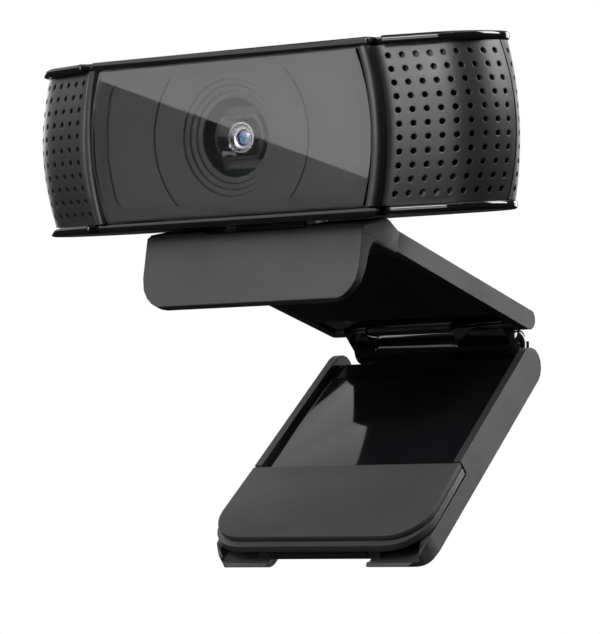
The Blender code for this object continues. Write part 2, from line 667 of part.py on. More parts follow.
def build_arm():
    side = list(reversed(arm_profile()))
    arm = slab("arm_shell", side, -CLIP_HALF_FRONT, CLIP_HALF_FRONT, "X")
    squeezed(arm, arm_half)
    soften(arm, ARM_ROUND, 4)
    back = ARM_REAR - 4 * MM
    front = -LIP_FRONT + LIP_THICK + 4 * MM
    inset = clip_half(back) - LINER_INSET
    cut(arm, box("liner_pocket", (-inset, front, -ARM_THICK), (inset, back, LINER_DEEP)))
    top = TILT_AXIS.z
    for edge in (-1, 1):
        near, far = sorted((edge * (TILT_HALF - 1 * MM), edge * HINGE_HALF))
        cut(arm, box(f"ear_pocket_{edge}", (near, TILT_AXIS.y - TILT_RADIUS - 2 * RUN,
                                            top - TILT_RADIUS - 2 * RUN),
                     (far, TILT_AXIS.y + TILT_RADIUS + 2 * RUN, top + ARM_THICK)))
    neck = slab("neck", arc((TILT_AXIS.y, top), TILT_RADIUS, 0, 180, 12)
                + [(TILT_AXIS.y - TILT_RADIUS, NECK_ROOT), (TILT_AXIS.y + TILT_RADIUS, NECK_ROOT)],
                -TILT_HALF, TILT_HALF, "X")
    join(arm, neck)
    cut(arm, rod("neck_bore", X_AXIS, (-HINGE_HALF, TILT_AXIS.y, top), 2 * HINGE_HALF,
                 TILT_PIN + RUN))
    clip_part(arm, BLACK_MATTE)
    pin_half = TILT_HALF + RUN + TILT_EAR - 0.4 * MM
    clip_part(rod("tilt_pin", X_AXIS, (-pin_half, TILT_AXIS.y, top), 2 * pin_half, TILT_PIN), STEEL)
    build_arm_liner(front + GAP, back - GAP, inset - GAP)


def ear_profile(start, back, level):
    """Side view of one of the arm's hinge ears, as (Y, Z): it passes under the arm's rear end."""
    centre = (LEG_AXIS.y, LEG_AXIS.z)
    barrel = arc(centre, KNUCKLE_RADIUS, 232, 515, 16)
    return [(start, level), (start, level / 2)] + barrel + [(back, -GAP), (back, level)]


def build_arm_liner(front, back, half):
    """Gloss liner set into the underside, with the hinge's outer ears, and the rubber seat on it."""
    top = LINER_DEEP - GAP
    liner = box("arm_liner", (-half, front, LINER_FACE), (half, back, top))
    ears = ((KNUCKLE_LEFT, KNUCKLE_SPLIT_LEFT - RUN / 2),
            (KNUCKLE_SPLIT_RIGHT + RUN / 2, KNUCKLE_RIGHT))
    start = back - 6 * MM
    for index, (near, far) in enumerate(ears):
        join(liner, slab(f"ear_{index}", ear_profile(start, back, top - GAP), near, far, "X"))
    cut(liner, box("seat_pocket", (-half - GAP, front - GAP, -ARM_THICK),
                   (half + GAP, SEAT_BACK, SEAT_FLOOR)))
    cut(liner, rod("liner_bore", X_AXIS, (-HEAD_WIDTH / 2, LEG_AXIS.y, LEG_AXIS.z), HEAD_WIDTH,
                   HINGE_PIN + RUN))
    clip_part(liner, BLACK_GLOSS)
    seat = box("seat_pad", (-half, front, 0.0), (half, SEAT_BACK - GAP, SEAT_FLOOR - GAP))
    clip_part(seat, BLACK_RUBBER)
    reach = KNUCKLE_RIGHT - KNUCKLE_LEFT - 2 * PIN_SHORT
    pin = rod("hinge_pin", X_AXIS, (KNUCKLE_LEFT + PIN_SHORT, LEG_AXIS.y, LEG_AXIS.z), reach,
              HINGE_PIN)
    clip_part(pin, STEEL)


# ---- leg ----------------------------------------------------------------------------------------
def leg_half(y, z):
    """Half width of the leg: it matches the arm when the clip is folded."""
    return clip_half(LEG_AXIS.y + y) - 0.05 * MM


def toe_half(y, z):
    """Half width of the leg's shell, with the toe's corners rounded off."""
    half = leg_half(y, z)
    beyond = y + LEG_LENGTH
    if beyond < TOE_CORNER:
        half -= TOE_CORNER - math.sqrt(TOE_CORNER ** 2 - (TOE_CORNER - max(beyond, 0.0)) ** 2)
    return half


def leg_profile():
    """Side view of the leg's shell, as (Y, Z), pointing along -Y from the hinge."""
    radius = (LEG_RIM + LEG_BACK) / 2
    end = arc((-LEG_TOP - radius, LEG_RIM - radius), radius, 90, -90, 8)
    toe = arc((-LEG_LENGTH + TOE_RADIUS, -LEG_BACK + TOE_RADIUS), TOE_RADIUS, 270, 215, 5)
    ledge = -FOOT_PLATE_THICK / 2 - 2 * GAP + 0.2 * MM
    step = [(FOOT_AXIS.y + RUN, ledge), (-FOOT_START - GAP, ledge), (-FOOT_START, ledge + GAP),
            (-FOOT_START, LEG_RIM)]
    return end + toe + step


def build_leg():
    shell = slab("leg_shell", list(reversed(leg_profile())), -CLIP_HALF_REAR, CLIP_HALF_REAR, "X")
    turns = [math.radians(18 * i) for i in range(5)]
    sliced(shell, (0, 1, 0), [TOE_CORNER * (1 - math.sin(turn)) - LEG_LENGTH for turn in turns])
    squeezed(shell, toe_half)
    soften(shell, EDGE_ROUND, 3)
    hinge_end, toe_end = 6 * MM, -LEG_LENGTH + LEG_WALL
    hollow = [(hinge_end, -LEG_BACK + LEG_FLOOR), (hinge_end, CLEAR),
              (toe_end, CLEAR), (toe_end, -LEG_BACK + LEG_FLOOR)]
    inner = slab("leg_hollow", hollow, -CLIP_HALF_REAR, CLIP_HALF_REAR, "X")
    squeezed(inner, lambda y, z: leg_half(y, z) - LEG_WALL)
    cut(shell, inner)
    side = leg_half(-LEG_LENGTH, 0) - LEG_WALL
    cut(shell, box("toe_window", (-side, -LEG_LENGTH - 2 * MM, TOE_WALL_TOP),
                   (side, -LEG_LENGTH + 3 * MM, 9 * MM)))
    half = FOOT_KNUCKLE_HALF + RUN
    cut(shell, box("toe_opening", (-half, -LEG_LENGTH - 2 * MM, -9 * MM),
                   (half, FOOT_AXIS.y + FOOT_KNUCKLE + 1.5 * MM, 9 * MM)))
    for edge in (-1, 1):
        near, far = sorted((edge * half, edge * (half + FOOT_EAR)))
        ear = (arc((FOOT_AXIS.y, FOOT_AXIS.z), FOOT_KNUCKLE, 0, 180, 8)
               + [(FOOT_AXIS.y - FOOT_KNUCKLE, -LEG_BACK + 1.0 * MM),
                  (FOOT_AXIS.y + FOOT_KNUCKLE, -LEG_BACK + 1.0 * MM)])
        join(shell, slab(f"foot_ear_{edge}", ear, near, far, "X"))
    cut(shell, rod("foot_bore", X_AXIS, (-half - FOOT_EAR - 1 * MM, FOOT_AXIS.y, FOOT_AXIS.z),
                   2 * (half + FOOT_EAR + 1 * MM), FOOT_PIN + RUN, segments=16))
    cut(shell, rod("socket_hole", Z_AXIS, (0, -SOCKET_PLACE, -2 * LEG_BACK), 2 * LEG_BACK,
                   SOCKET_RADIUS + GAP))
    leg_part(shell, BLACK_MATTE)
    build_leg_liner()
    pin_half = half + FOOT_EAR - 0.2 * MM
    pin = rod("foot_pin", X_AXIS, (-pin_half, FOOT_AXIS.y, FOOT_AXIS.z), 2 * pin_half, FOOT_PIN,
              segments=16)
    leg_part(pin, STEEL)
    low, high = -LEG_BACK + 0.1 * MM, LEG_LINER_FACE - TRAY_WALL - GAP
    socket = turned("tripod_socket", [(SOCKET_RADIUS, low), (SOCKET_RADIUS, high),
                                      (SOCKET_BORE, high), (SOCKET_BORE, low)], 32)
    socket.data.transform(Matrix.Rotation(math.radians(90), 4, "X"))
    socket.data.transform(Matrix.Translation((0, -SOCKET_PLACE, 0)))
    leg_part(socket, BRASS)


def build_leg_liner():
    """Gloss tray inside the leg, with the hinge's centre knuckle."""
    front, back = -FOOT_START + GAP, -LEG_TOP - 4.2 * MM
    floor = -LEG_BACK + LEG_FLOOR + GAP
    outline = [(front, LEG_LINER_FACE), (front, floor), (back, floor), (back, LEG_LINER_FACE)]
    tray = slab("leg_liner", outline, -CLIP_HALF_REAR, CLIP_HALF_REAR, "X")
    squeezed(tray, lambda y, z: leg_half(y, z) - LEG_WALL - GAP)
    top = LEG_LINER_FACE - TRAY_WALL
    room = [(front + TRAY_WALL, top), (front + TRAY_WALL, 2 * floor),
            (back - TRAY_WALL, 2 * floor), (back - TRAY_WALL, top)]
    hollow = slab("tray_hollow", room, -CLIP_HALF_REAR, CLIP_HALF_REAR, "X")
    squeezed(hollow, lambda y, z: leg_half(y, z) - LEG_WALL - GAP - TRAY_WALL)
    cut(tray, hollow)
    for near, far in ((KNUCKLE_LEFT - RUN, KNUCKLE_SPLIT_LEFT + RUN / 2),
                      (KNUCKLE_SPLIT_RIGHT - RUN / 2, KNUCKLE_RIGHT + RUN)):
        cut(tray, box("ear_notch", (near, -LINER_NOTCH, -9 * MM), (far, 9 * MM, 9 * MM)))
    join(tray, rod("centre_knuckle_round", X_AXIS, (KNUCKLE_SPLIT_LEFT + RUN / 2, 0, 0),
                   KNUCKLE_SPLIT_RIGHT - KNUCKLE_SPLIT_LEFT - RUN, KNUCKLE_RADIUS))
    join(tray, box("knuckle_web", (KNUCKLE_SPLIT_LEFT + RUN / 2, back - 2 * MM, -1.4 * MM),
                   (KNUCKLE_SPLIT_RIGHT - RUN / 2, -0.5 * KNUCKLE_RADIUS, LEG_LINER_FACE)))
    cut(tray, rod("tray_bore", X_AXIS, (KNUCKLE_LEFT, 0, 0), KNUCKLE_RIGHT - KNUCKLE_LEFT,
                  HINGE_PIN + RUN))
    leg_part(tray, BLACK_GLOSS)


# ---- foot ---------------------------------------------------------------------------------------
def foot_outline(reach):
    """Plan of the foot, as (X, Y): square at the back, round at the front corners."""
    back, front = -FOOT_START - 1.5 * GAP, -FOOT_START - FOOT_LENGTH - reach
    half = leg_half(front, 0)
    right = [(leg_half(back, 0), back)]
    right += arc((half - FOOT_CORNER, front + FOOT_CORNER), FOOT_CORNER, 0, -90, 8)
    return right + mirror_x(right)


def build_foot():
    pad_low = LEG_RIM - FOOT_PAD_THICK
    plate_low = pad_low - GAP / 2 - FOOT_PLATE_THICK
    pad = slab("foot_pad", list(reversed(foot_outline(FOOT_NOSE / 4))), pad_low, LEG_RIM)
    foot_part(soften(pad, 0.3 * MM), BLACK_RUBBER)
    outline = list(reversed(foot_outline(FOOT_NOSE)))
    plate = slab("foot_plate", outline, plate_low, pad_low - GAP / 2)
    round_end = arc((FOOT_AXIS.y, FOOT_AXIS.z), FOOT_KNUCKLE, 180, 360, 8)
    block = round_end + [(FOOT_AXIS.y + FOOT_KNUCKLE, plate_low + 0.4 * MM),
                         (FOOT_AXIS.y - FOOT_KNUCKLE, plate_low + 0.4 * MM)]
    join(plate, slab("foot_block", block, -FOOT_KNUCKLE_HALF, FOOT_KNUCKLE_HALF, "X"))
    cut(plate, rod("block_bore", X_AXIS, (-HEAD_WIDTH / 4, FOOT_AXIS.y, FOOT_AXIS.z), HEAD_WIDTH / 2,
                   FOOT_PIN + RUN, segments=16))
    foot_part(plate, BLACK_MATTE)


build_covers()
build_grilles()
build_front_housing()
build_rear_housing()
build_window()
build_lens()
build_boards()
build_gland()
build_tilt_bracket()
build_arm()
build_leg()
build_foot()
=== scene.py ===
"""Looks of the webcam on its folding clip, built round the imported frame."""
import json
import math

import bmesh
import bpy
from mathutils import Matrix, Vector


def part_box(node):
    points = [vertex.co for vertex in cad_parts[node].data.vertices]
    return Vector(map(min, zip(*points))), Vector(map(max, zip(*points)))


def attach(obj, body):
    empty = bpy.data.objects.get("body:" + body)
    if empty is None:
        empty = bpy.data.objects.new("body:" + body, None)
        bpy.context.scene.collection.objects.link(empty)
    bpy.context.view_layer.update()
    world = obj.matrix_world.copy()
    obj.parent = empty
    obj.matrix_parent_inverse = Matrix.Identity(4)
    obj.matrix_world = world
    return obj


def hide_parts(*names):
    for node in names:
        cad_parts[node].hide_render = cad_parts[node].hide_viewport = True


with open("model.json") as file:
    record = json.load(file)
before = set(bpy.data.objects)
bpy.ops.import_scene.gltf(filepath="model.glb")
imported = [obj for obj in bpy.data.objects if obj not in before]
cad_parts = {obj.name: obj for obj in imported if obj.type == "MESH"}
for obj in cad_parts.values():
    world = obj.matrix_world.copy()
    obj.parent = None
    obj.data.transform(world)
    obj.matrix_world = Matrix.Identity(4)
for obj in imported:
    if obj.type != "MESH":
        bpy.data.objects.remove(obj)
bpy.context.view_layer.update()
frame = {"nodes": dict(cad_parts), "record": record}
MM = 0.001

# ---- where things are, from the frame -----------------------------------------------------------
JOINTS = {joint["name"]: joint for joint in frame["record"]["behaviour"]["joints"]}
TILT_AXIS = Vector(JOINTS["head_tilt"]["pos_m"])
LEG_AXIS = Vector(JOINTS["leg_fold"]["pos_m"])
HEAD_CENTRE = Vector(JOINTS["lens_thread"]["pos_m"])
OPTICAL = Vector(JOINTS["lens_thread"]["axis"]).normalized()
HEAD_TILT = math.atan2(-OPTICAL.z, -OPTICAL.y)
HEAD_FRAME = Matrix.Translation(HEAD_CENTRE) @ Matrix.Rotation(HEAD_TILT, 4, "X")

# ---- camera -------------------------------------------------------------------------------------
VIEW_AZIMUTH = math.radians(34.5)
VIEW_HEIGHT = math.radians(0.19)
VIEW_ROLL = math.radians(-2.85)
VIEW_DISTANCE = 637.5 * MM
VIEW_ASIDE = Vector((-11.96 * MM, 29.79 * MM))
FOCAL = 230.8
SENSOR_WIDTH = 36.0


def make_camera():
    """The camera is placed in the head's own frame, which is the part that faces it."""
    back = Vector((math.sin(VIEW_AZIMUTH) * math.cos(VIEW_HEIGHT),
                   -math.cos(VIEW_AZIMUTH) * math.cos(VIEW_HEIGHT), math.sin(VIEW_HEIGHT)))
    right = Vector((math.cos(VIEW_AZIMUTH), math.sin(VIEW_AZIMUTH), 0))
    up = back.cross(right)
    turn = Matrix((right, up, back)).transposed() @ Matrix.Rotation(VIEW_ROLL, 3, "Z")
    right, up = turn.col[0], turn.col[1]
    place = back * VIEW_DISTANCE - right * VIEW_ASIDE.x - up * VIEW_ASIDE.y
    data = bpy.data.cameras.new("camera")
    data.lens = FOCAL
    data.sensor_fit = "HORIZONTAL"
    data.sensor_width = SENSOR_WIDTH
    data.clip_start = 10 * MM
    camera = bpy.data.objects.new("camera", data)
    camera.matrix_world = HEAD_FRAME @ Matrix.Translation(place) @ turn.to_4x4()
    bpy.context.scene.collection.objects.link(camera)
    bpy.context.scene.camera = camera


# ---- sizes of the head's visible surfaces, in millimetres in the head's own frame ---------------
# The head's frame: origin in the middle of its window, +X to its right side, +Y to its rear.
HALF_WIDTH = 47.0
HALF_HEIGHT = 14.5
REAR = 24.0                        # depth of the rear face
REAR_CORNER = 14.0                 # how far in from the side the rear face starts
REAR_TURN = 2.2                    # how far the side runs on behind the seam before it turns in
REAR_FULLNESS = 0.2
CORNER_REACH = 0.68                # how far the rear face's line leads on, as a share of the corner
COVER_THICK = 1.5
COVER_PROUD = 0.35                 # how far the covers stand out past the walls
SHEET_HALF = 12.97                 # half height of the side and rear walls, between the covers
SIDE_BULGE = 1.6                   # how much wider the head is at mid height than at its covers
SIDE_SEAM = 14.6                   # depth at which the side grille meets the rear housing
SWEEP_START = Vector((30.6, 0.9))  # where the side grille starts
SWEEP_BEND = Vector((39.6, 3.8))   # where it starts to turn backwards
BEND_REACH = 0.3                   # length of the bend's handles, as a share of its chord
BEND_EASE = 0.5                    # how far before the bend the straight stretch ends
SEAM_LEAD = Vector((0.1, 1.8))     # how the side runs into the seam
CURVE_START = 4.0                  # the curve begins this far before the sweep
CURVE_STEPS = 24
VALLEY_WIDE = 1.9                  # the hollow between bezel and grille
VALLEY_DEEP = 1.0
CROWN = 1.2                        # how much the grilles are crowned in height
WINDOW_HALF = 28.4
WINDOW_BULGE = 2.3                 # how much wider the window is at mid height than at its corners
TRIM_HALF = 28.2                   # the covers' centre pieces end here
ROW_PITCH = 2.24
PITCH = 2.40                       # between the columns of holes
HOLE_RADIUS = 0.47
HOLE_EDGE = ((0.22, 0.0), (0.10, 0.0), (0.03, 0.03), (0.0, 0.11))    # (extra radius, depth)
HOLE_ROWS = 11
HOLE_COLUMNS = 9
CHEEK_COLUMNS = 2
CHEEK_MARGIN = 0.15                # between the seam and the cheek's first column
FIRST_COLUMN = 2.35
COLUMN_ARC = 2.1                   # how far the columns bow forward at the top and bottom
ARC_FADE = 0.5                     # the share of that bow that is lost on the way to the seam
GRILLE_THICK = 1.2
SHELL_THICK = 1.5
SEAM = 0.3
LENS_RADIUS = 1.35
LENS_FACE = 4.85

HEAD_MM = HEAD_FRAME @ Matrix.Scale(MM, 4)
LEG_NORMAL = next(Vector(m["axis"]) for m in frame["record"]["mounts"] if m["name"] == "foot_face")
LEG_ANGLE = math.atan2(-LEG_NORMAL.y, LEG_NORMAL.z)
LEG_MM = (Matrix.Translation(LEG_AXIS) @ Matrix.Rotation(LEG_ANGLE, 4, "X")
          @ Matrix.Scale(MM, 4))


# ---- materials ----------------------------------------------------------------------------------
class Surface:
    """A Principled material whose texture nodes work in the piece's own coordinates."""

    def __init__(self, name, base, roughness, metallic=0.0):
        self.material = bpy.data.materials.new(name)
        self.material.use_nodes = True
        self.nodes = self.material.node_tree.nodes
        self.links = self.material.node_tree.links
        self.shader = self.nodes["Principled BSDF"]
        self.shader.inputs["Base Color"].default_value = (*base, 1.0)
        self.shader.inputs["Roughness"].default_value = roughness
        self.shader.inputs["Metallic"].default_value = metallic
        self.place = self.nodes.new("ShaderNodeTexCoord").outputs["Object"]
        self.base = base
        self.bumps = None

    def noise(self, grain_mm, detail=2.0, stretch=None):
        """A noise whose features are about grain_mm millimetres wide."""
        node = self.nodes.new("ShaderNodeTexNoise")
        node.inputs["Scale"].default_value = 1.0 / (grain_mm * MM)
        node.inputs["Detail"].default_value = detail
        source = self.place
        if stretch:
            mapping = self.nodes.new("ShaderNodeMapping")
            mapping.inputs["Scale"].default_value = stretch
            self.links.new(source, mapping.inputs["Vector"])
            source = mapping.outputs["Vector"]
        self.links.new(source, node.inputs["Vector"])
        return node.outputs["Fac"]

    def ranged(self, source, low, high, start=0.3, end=0.7):
        node = self.nodes.new("ShaderNodeMapRange")
        for name, value in (("From Min", start), ("From Max", end), ("To Min", low), ("To Max", high)):
            node.inputs[name].default_value = value
        self.links.new(source, node.inputs["Value"])
        return node.outputs["Result"]

    def shade(self, source, darkest=0.8, brightest=1.2):
        """Vary the base colour's brightness along a texture."""
        ramp = self.nodes.new("ShaderNodeValToRGB")
        ramp.color_ramp.elements[0].position = 0.3
        ramp.color_ramp.elements[1].position = 0.7
        ramp.color_ramp.elements[0].color = (*(c * darkest for c in self.base), 1.0)
        ramp.color_ramp.elements[1].color = (*(min(c * brightest, 1.0) for c in self.base), 1.0)
        self.links.new(source, ramp.inputs["Fac"])
        self.links.new(ramp.outputs["Color"], self.shader.inputs["Base Color"])
        return self

    def rough(self, source, low, high):
        self.links.new(self.ranged(source, low, high), self.shader.inputs["Roughness"])
        return self

    def bump(self, source, depth_mm, strength=1.0):
        node = self.nodes.new("ShaderNodeBump")
        node.inputs["Strength"].default_value = strength
        node.inputs["Distance"].default_value = depth_mm * MM
        self.links.new(source, node.inputs["Height"])
        if self.bumps:
            self.links.new(self.bumps, node.inputs["Normal"])
        self.bumps = node.outputs["Normal"]
        self.links.new(self.bumps, self.shader.inputs["Normal"])
        return self

    def set(self, **values):
        for name, value in values.items():
            self.shader.inputs[name.replace("_", " ")].default_value = value
        return self


def moulded(name, base, roughness, grain_mm, depth_mm):
    """Black plastic with a fine spark-eroded texture and a little handling wear."""
    surface = Surface(name, base, roughness)
    grain = surface.noise(grain_mm, 3.0)
    wear = surface.noise(9.0, 4.0)
    surface.shade(grain, 0.72, 1.3)
    surface.rough(wear, roughness - 0.05, roughness + 0.06)
    surface.bump(grain, depth_mm)
    return surface.material


def polished(name, base, roughness):
    """Gloss black plastic: near flawless, with faint smears and a very slight mould ripple."""
    surface = Surface(name, base, roughness)
    surface.rough(surface.noise(6.0, 5.0), roughness * 0.6, roughness * 1.7)
    surface.bump(surface.noise(14.0, 1.0), 0.010, 0.5)
    surface.shade(surface.noise(20.0), 0.9, 1.1)
    return surface.material


def metal(name, base, roughness, stretch):
    surface = Surface(name, base, roughness, 1.0)
    brushed = surface.noise(0.3, 3.0, stretch)
    surface.rough(brushed, roughness - 0.08, roughness + 0.10)
    surface.bump(brushed, 0.004)
    surface.shade(brushed, 0.9, 1.08)
    return surface.material


def window_glass():
    surface = Surface("window_glass", (1.0, 1.0, 1.0), 0.0)
    surface.set(Transmission_Weight=1.0, IOR=1.45)
    surface.rough(surface.noise(12.0, 4.0), 0.0, 0.02)
    return surface.material


def lens_coating_painted_reflection():
    """Coated lens with the coating's reflection painted into its base colour by radius: dark in the
    very middle, teal, then blue, then magenta, and near black at the rim.
    """
    surface = Surface("lens_coating_painted_reflection", (0.02, 0.10, 0.13), 0.02)
    centre = HEAD_FRAME @ Vector((0, LENS_FACE * MM, 0))
    away = surface.nodes.new("ShaderNodeVectorMath")
    away.operation = "DISTANCE"
    away.inputs[1].default_value = centre
    surface.links.new(surface.place, away.inputs[0])
    share = surface.ranged(away.outputs["Value"], 0.0, 1.0, 0.0, LENS_RADIUS * MM)
    ramp = surface.nodes.new("ShaderNodeValToRGB")
    # painted coating reflection: rings of colour by distance from the lens centre, dark in the middle
    # and near black at the rim
    colours = ((0.0, (0.010, 0.030, 0.045)), (0.35, (0.03, 0.16, 0.20)), (0.62, (0.05, 0.10, 0.30)),
               (0.82, (0.10, 0.05, 0.24)), (1.0, (0.01, 0.01, 0.02)))
    ramp.color_ramp.elements[0].position = colours[0][0]
    ramp.color_ramp.elements[0].color = (*colours[0][1], 1.0)
    ramp.color_ramp.elements[1].position = colours[-1][0]
    ramp.color_ramp.elements[1].color = (*colours[-1][1], 1.0)
    for position, colour in colours[1:-1]:
        ramp.color_ramp.elements.new(position).color = (*colour, 1.0)
    surface.links.new(share, ramp.inputs["Fac"])
    surface.links.new(ramp.outputs["Color"], surface.shader.inputs["Base Color"])
    surface.set(Coat_Weight=1.0, Coat_Roughness=0.01, IOR=1.7)
    return surface.material


def light_guide_material():
    surface = Surface("smoked_guide", (0.025, 0.027, 0.032), 0.2)
    surface.shade(surface.noise(1.5), 0.8, 1.2)
    return surface.material


def board_material():
    surface = Surface("green_board", (0.015, 0.09, 0.04), 0.4)
    surface.shade(surface.noise(0.8, 4.0), 0.5, 1.5)
    return surface.material


MATTE = moulded("matte_shell_grain", (0.026, 0.026, 0.027), 0.52, 0.16, 0.035)
GRILLE = moulded("grille_satin", (0.020, 0.020, 0.021), 0.40, 0.14, 0.022)
PLATE = moulded("plate_grain", (0.012, 0.0125, 0.0135), 0.46, 0.08, 0.012)
RUBBER = moulded("rubber_grain", (0.020, 0.020, 0.021), 0.72, 0.22, 0.02)
PRINT = moulded("printed_border", (0.004, 0.004, 0.004), 0.5, 0.1, 0.002)
GLOSS = polished("gloss_black", (0.006, 0.006, 0.007), 0.06)
GLASS = window_glass()
LENS = lens_coating_painted_reflection()
SATIN = metal("satin_barrel", (0.34, 0.34, 0.36), 0.27, (1, 1, 1))
CHROME = metal("satin_ring", (0.62, 0.62, 0.64), 0.24, (1, 1, 1))
STEEL = metal("plain_steel", (0.55, 0.55, 0.57), 0.30, (0.1, 1, 1))
BRASS = metal("turned_brass", (0.62, 0.44, 0.18), 0.32, (1, 1, 1))
BOARD = board_material()
GUIDE = light_guide_material()

SLOT_MATERIALS = {"matte_shell": MATTE, "gloss_trim": GLOSS, "rubber_pad": RUBBER, "grille": GRILLE,
                  "textured_plate": PLATE, "window": GLASS, "lens": LENS, "steel": STEEL,
                  "brass": BRASS, "circuit_board": BOARD, "light_guide": GUIDE}
NODE_SLOTS = {part["node"]: part["material_slot"] for part in frame["record"]["subparts"]}
NODE_BODIES = {node: body for body, members in frame["record"]["behaviour"]["bodies"].items()
               for node in members}


# ---- mesh helpers -------------------------------------------------------------------------------
def piece(name, mesh, material, body, slot, *nodes, sharp=34.0):
    """Make a finished object of a bmesh that is already in the row frame."""
    data = bpy.data.meshes.new(name)
    mesh.to_mesh(data)
    mesh.free()
    data.shade_smooth()
    data.set_sharp_from_angle(angle=math.radians(sharp))
    data.materials.append(material)
    made = bpy.data.objects.new(name, data)
    bpy.context.scene.collection.objects.link(made)
    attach(made, body)
    if nodes:
        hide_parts(*nodes)
    return made


def close_up(mesh, placing):
    """Weld a mesh, point its faces outwards and put it in the row frame."""
    bmesh.ops.remove_doubles(mesh, verts=mesh.verts, dist=0.0005)
    bmesh.ops.recalc_face_normals(mesh, faces=mesh.faces)
    bmesh.ops.transform(mesh, matrix=placing, verts=mesh.verts)
    return mesh


def prism(outline, low, high, normal="Z"):
    """A closed solid of one outline, given as pairs, between two levels along its normal."""
    order = {"Z": lambda a, b, t: (a, b, t), "Y": lambda a, b, t: (a, t, b),
             "X": lambda a, b, t: (t, a, b)}[normal]
    mesh = bmesh.new()
    lower = [mesh.verts.new(order(a, b, low)) for a, b in outline]
    upper = [mesh.verts.new(order(a, b, high)) for a, b in outline]
    mesh.faces.new(lower)
    mesh.faces.new(upper)
    count = len(outline)
    for i in range(count):
        j = (i + 1) % count
        mesh.faces.new((lower[i], lower[j], upper[j], upper[i]))
    bmesh.ops.recalc_face_normals(mesh, faces=mesh.faces)
    return mesh


def rounded(mesh, width, segments=3, sharp=40.0):
    """Round every edge that is sharper than the angle."""
    edges = [edge for edge in mesh.edges
             if edge.is_manifold and edge.calc_face_angle(0.0) > math.radians(sharp)]
    bmesh.ops.bevel(mesh, geom=edges, offset=width, segments=segments, profile=0.5,
                    affect="EDGES", clamp_overlap=True)
    return mesh


def turned(profile, segments=96):
    """A body turned about the optical axis, from a closed list of (radius, depth)."""
    mesh = bmesh.new()
    rings = []
    for step in range(segments):
        angle = 2 * math.pi * step / segments
        rings.append([mesh.verts.new((radius * math.cos(angle), depth, radius * math.sin(angle)))
                      for radius, depth in profile])
    for step in range(segments):
        here, there = rings[step], rings[(step + 1) % segments]
        for i in range(len(profile)):
            j = (i + 1) % len(profile)
            if profile[i][0] > 0 or profile[j][0] > 0:
                mesh.faces.new((here[i], here[j], there[j], there[i]))
    bmesh.ops.remove_doubles(mesh, verts=mesh.verts, dist=0.0001)
    return mesh


def arc(centre, radius, start, end, steps):
    made = []
    for i in range(steps + 1):
        angle = math.radians(start + (end - start) * i / steps)
        made.append((centre[0] + radius * math.cos(angle), centre[1] + radius * math.sin(angle)))
    return made


def cad_copy(node, join_angle=0.8):
    """A CAD node's mesh in millimetres in the row frame, with its flat faces made whole."""
    mesh = bmesh.new()
    mesh.from_mesh(frame["nodes"][node].data)
    bmesh.ops.scale(mesh, vec=(1 / MM, 1 / MM, 1 / MM), verts=mesh.verts)
    bmesh.ops.remove_doubles(mesh, verts=mesh.verts, dist=0.0005)
    bmesh.ops.dissolve_limit(mesh, angle_limit=math.radians(join_angle), verts=mesh.verts,
                             edges=mesh.edges)
    return mesh


def refined(node, width, segments=3, sharp=34.0):
    """A CAD node made smooth, with a small radius on its sharp edges."""
    mesh = cad_copy(node)
    if width:
        rounded(mesh, width, segments)
    bmesh.ops.scale(mesh, vec=(MM, MM, MM), verts=mesh.verts)
    slot = NODE_SLOTS[node]
    return piece(node + "_finished", mesh, SLOT_MATERIALS[slot], NODE_BODIES[node], slot, node,
                 sharp=sharp)


def even_normals(made):
    """Keep large flat faces flat where they run into small rounded ones."""
    even = made.modifiers.new("even_normals", "WEIGHTED_NORMAL")
    even.mode = "FACE_AREA"
    even.keep_sharp = True


# ---- head: the wall that runs round its sides and rear ------------------------------------------
def bezier(start, first, second, end, steps):
    points = []
    for i in range(steps + 1):
        t = i / steps
        u = 1 - t
        points.append(u ** 3 * start + 3 * u * u * t * first + 3 * u * t * t * second + t ** 3 * end)
    return points


def side_curve():
    """The right side from above, from the window's edge to the rear centre line."""
    seam = Vector((HALF_WIDTH, SIDE_SEAM))
    slope = (SWEEP_BEND - SWEEP_START).normalized()
    reach = BEND_REACH * (seam - SWEEP_BEND).length
    points = [SWEEP_START - slope * CURVE_START, SWEEP_START, SWEEP_BEND - slope * BEND_EASE]
    points += bezier(SWEEP_BEND, SWEEP_BEND + slope * reach, seam - SEAM_LEAD * reach, seam,
                     CURVE_STEPS)
    rear = Vector((HALF_WIDTH - REAR_CORNER, REAR))
    flank = seam + Vector((REAR_FULLNESS, REAR_TURN))
    lead = Vector((CORNER_REACH * REAR_CORNER, 0))
    points += bezier(seam, flank, rear + lead, rear, CURVE_STEPS)[1:]
    return points + [Vector((0, REAR))]


CURVE = side_curve()
LENGTHS = [0.0]
for first, second in zip(CURVE, CURVE[1:]):
    LENGTHS.append(LENGTHS[-1] + (second - first).length)


def on_curve(along):
    """(point, outward normal) at a distance along the side from the start of the sweep."""
    wanted = min(max(along + CURVE_START, 0.0), LENGTHS[-1] - 0.0001)
    spot = next(i for i in range(len(LENGTHS) - 1) if LENGTHS[i + 1] >= wanted)
    share = (wanted - LENGTHS[spot]) / (LENGTHS[spot + 1] - LENGTHS[spot])
    tangent = (CURVE[spot + 1] - CURVE[spot]).normalized()
    return CURVE[spot].lerp(CURVE[spot + 1], share), Vector((tangent.y, -tangent.x))


SEAM_ALONG = next(LENGTHS[i] for i, p in enumerate(CURVE) if p.y >= SIDE_SEAM - 0.001) - CURVE_START
REAR_ALONG = LENGTHS[-1] - CURVE_START


def end_share(x):
    """0 at the start of the sweep, growing to 1 at the head's widest."""
    return max(0.0, (abs(x) - SWEEP_START.x) / (HALF_WIDTH - SWEEP_START.x))


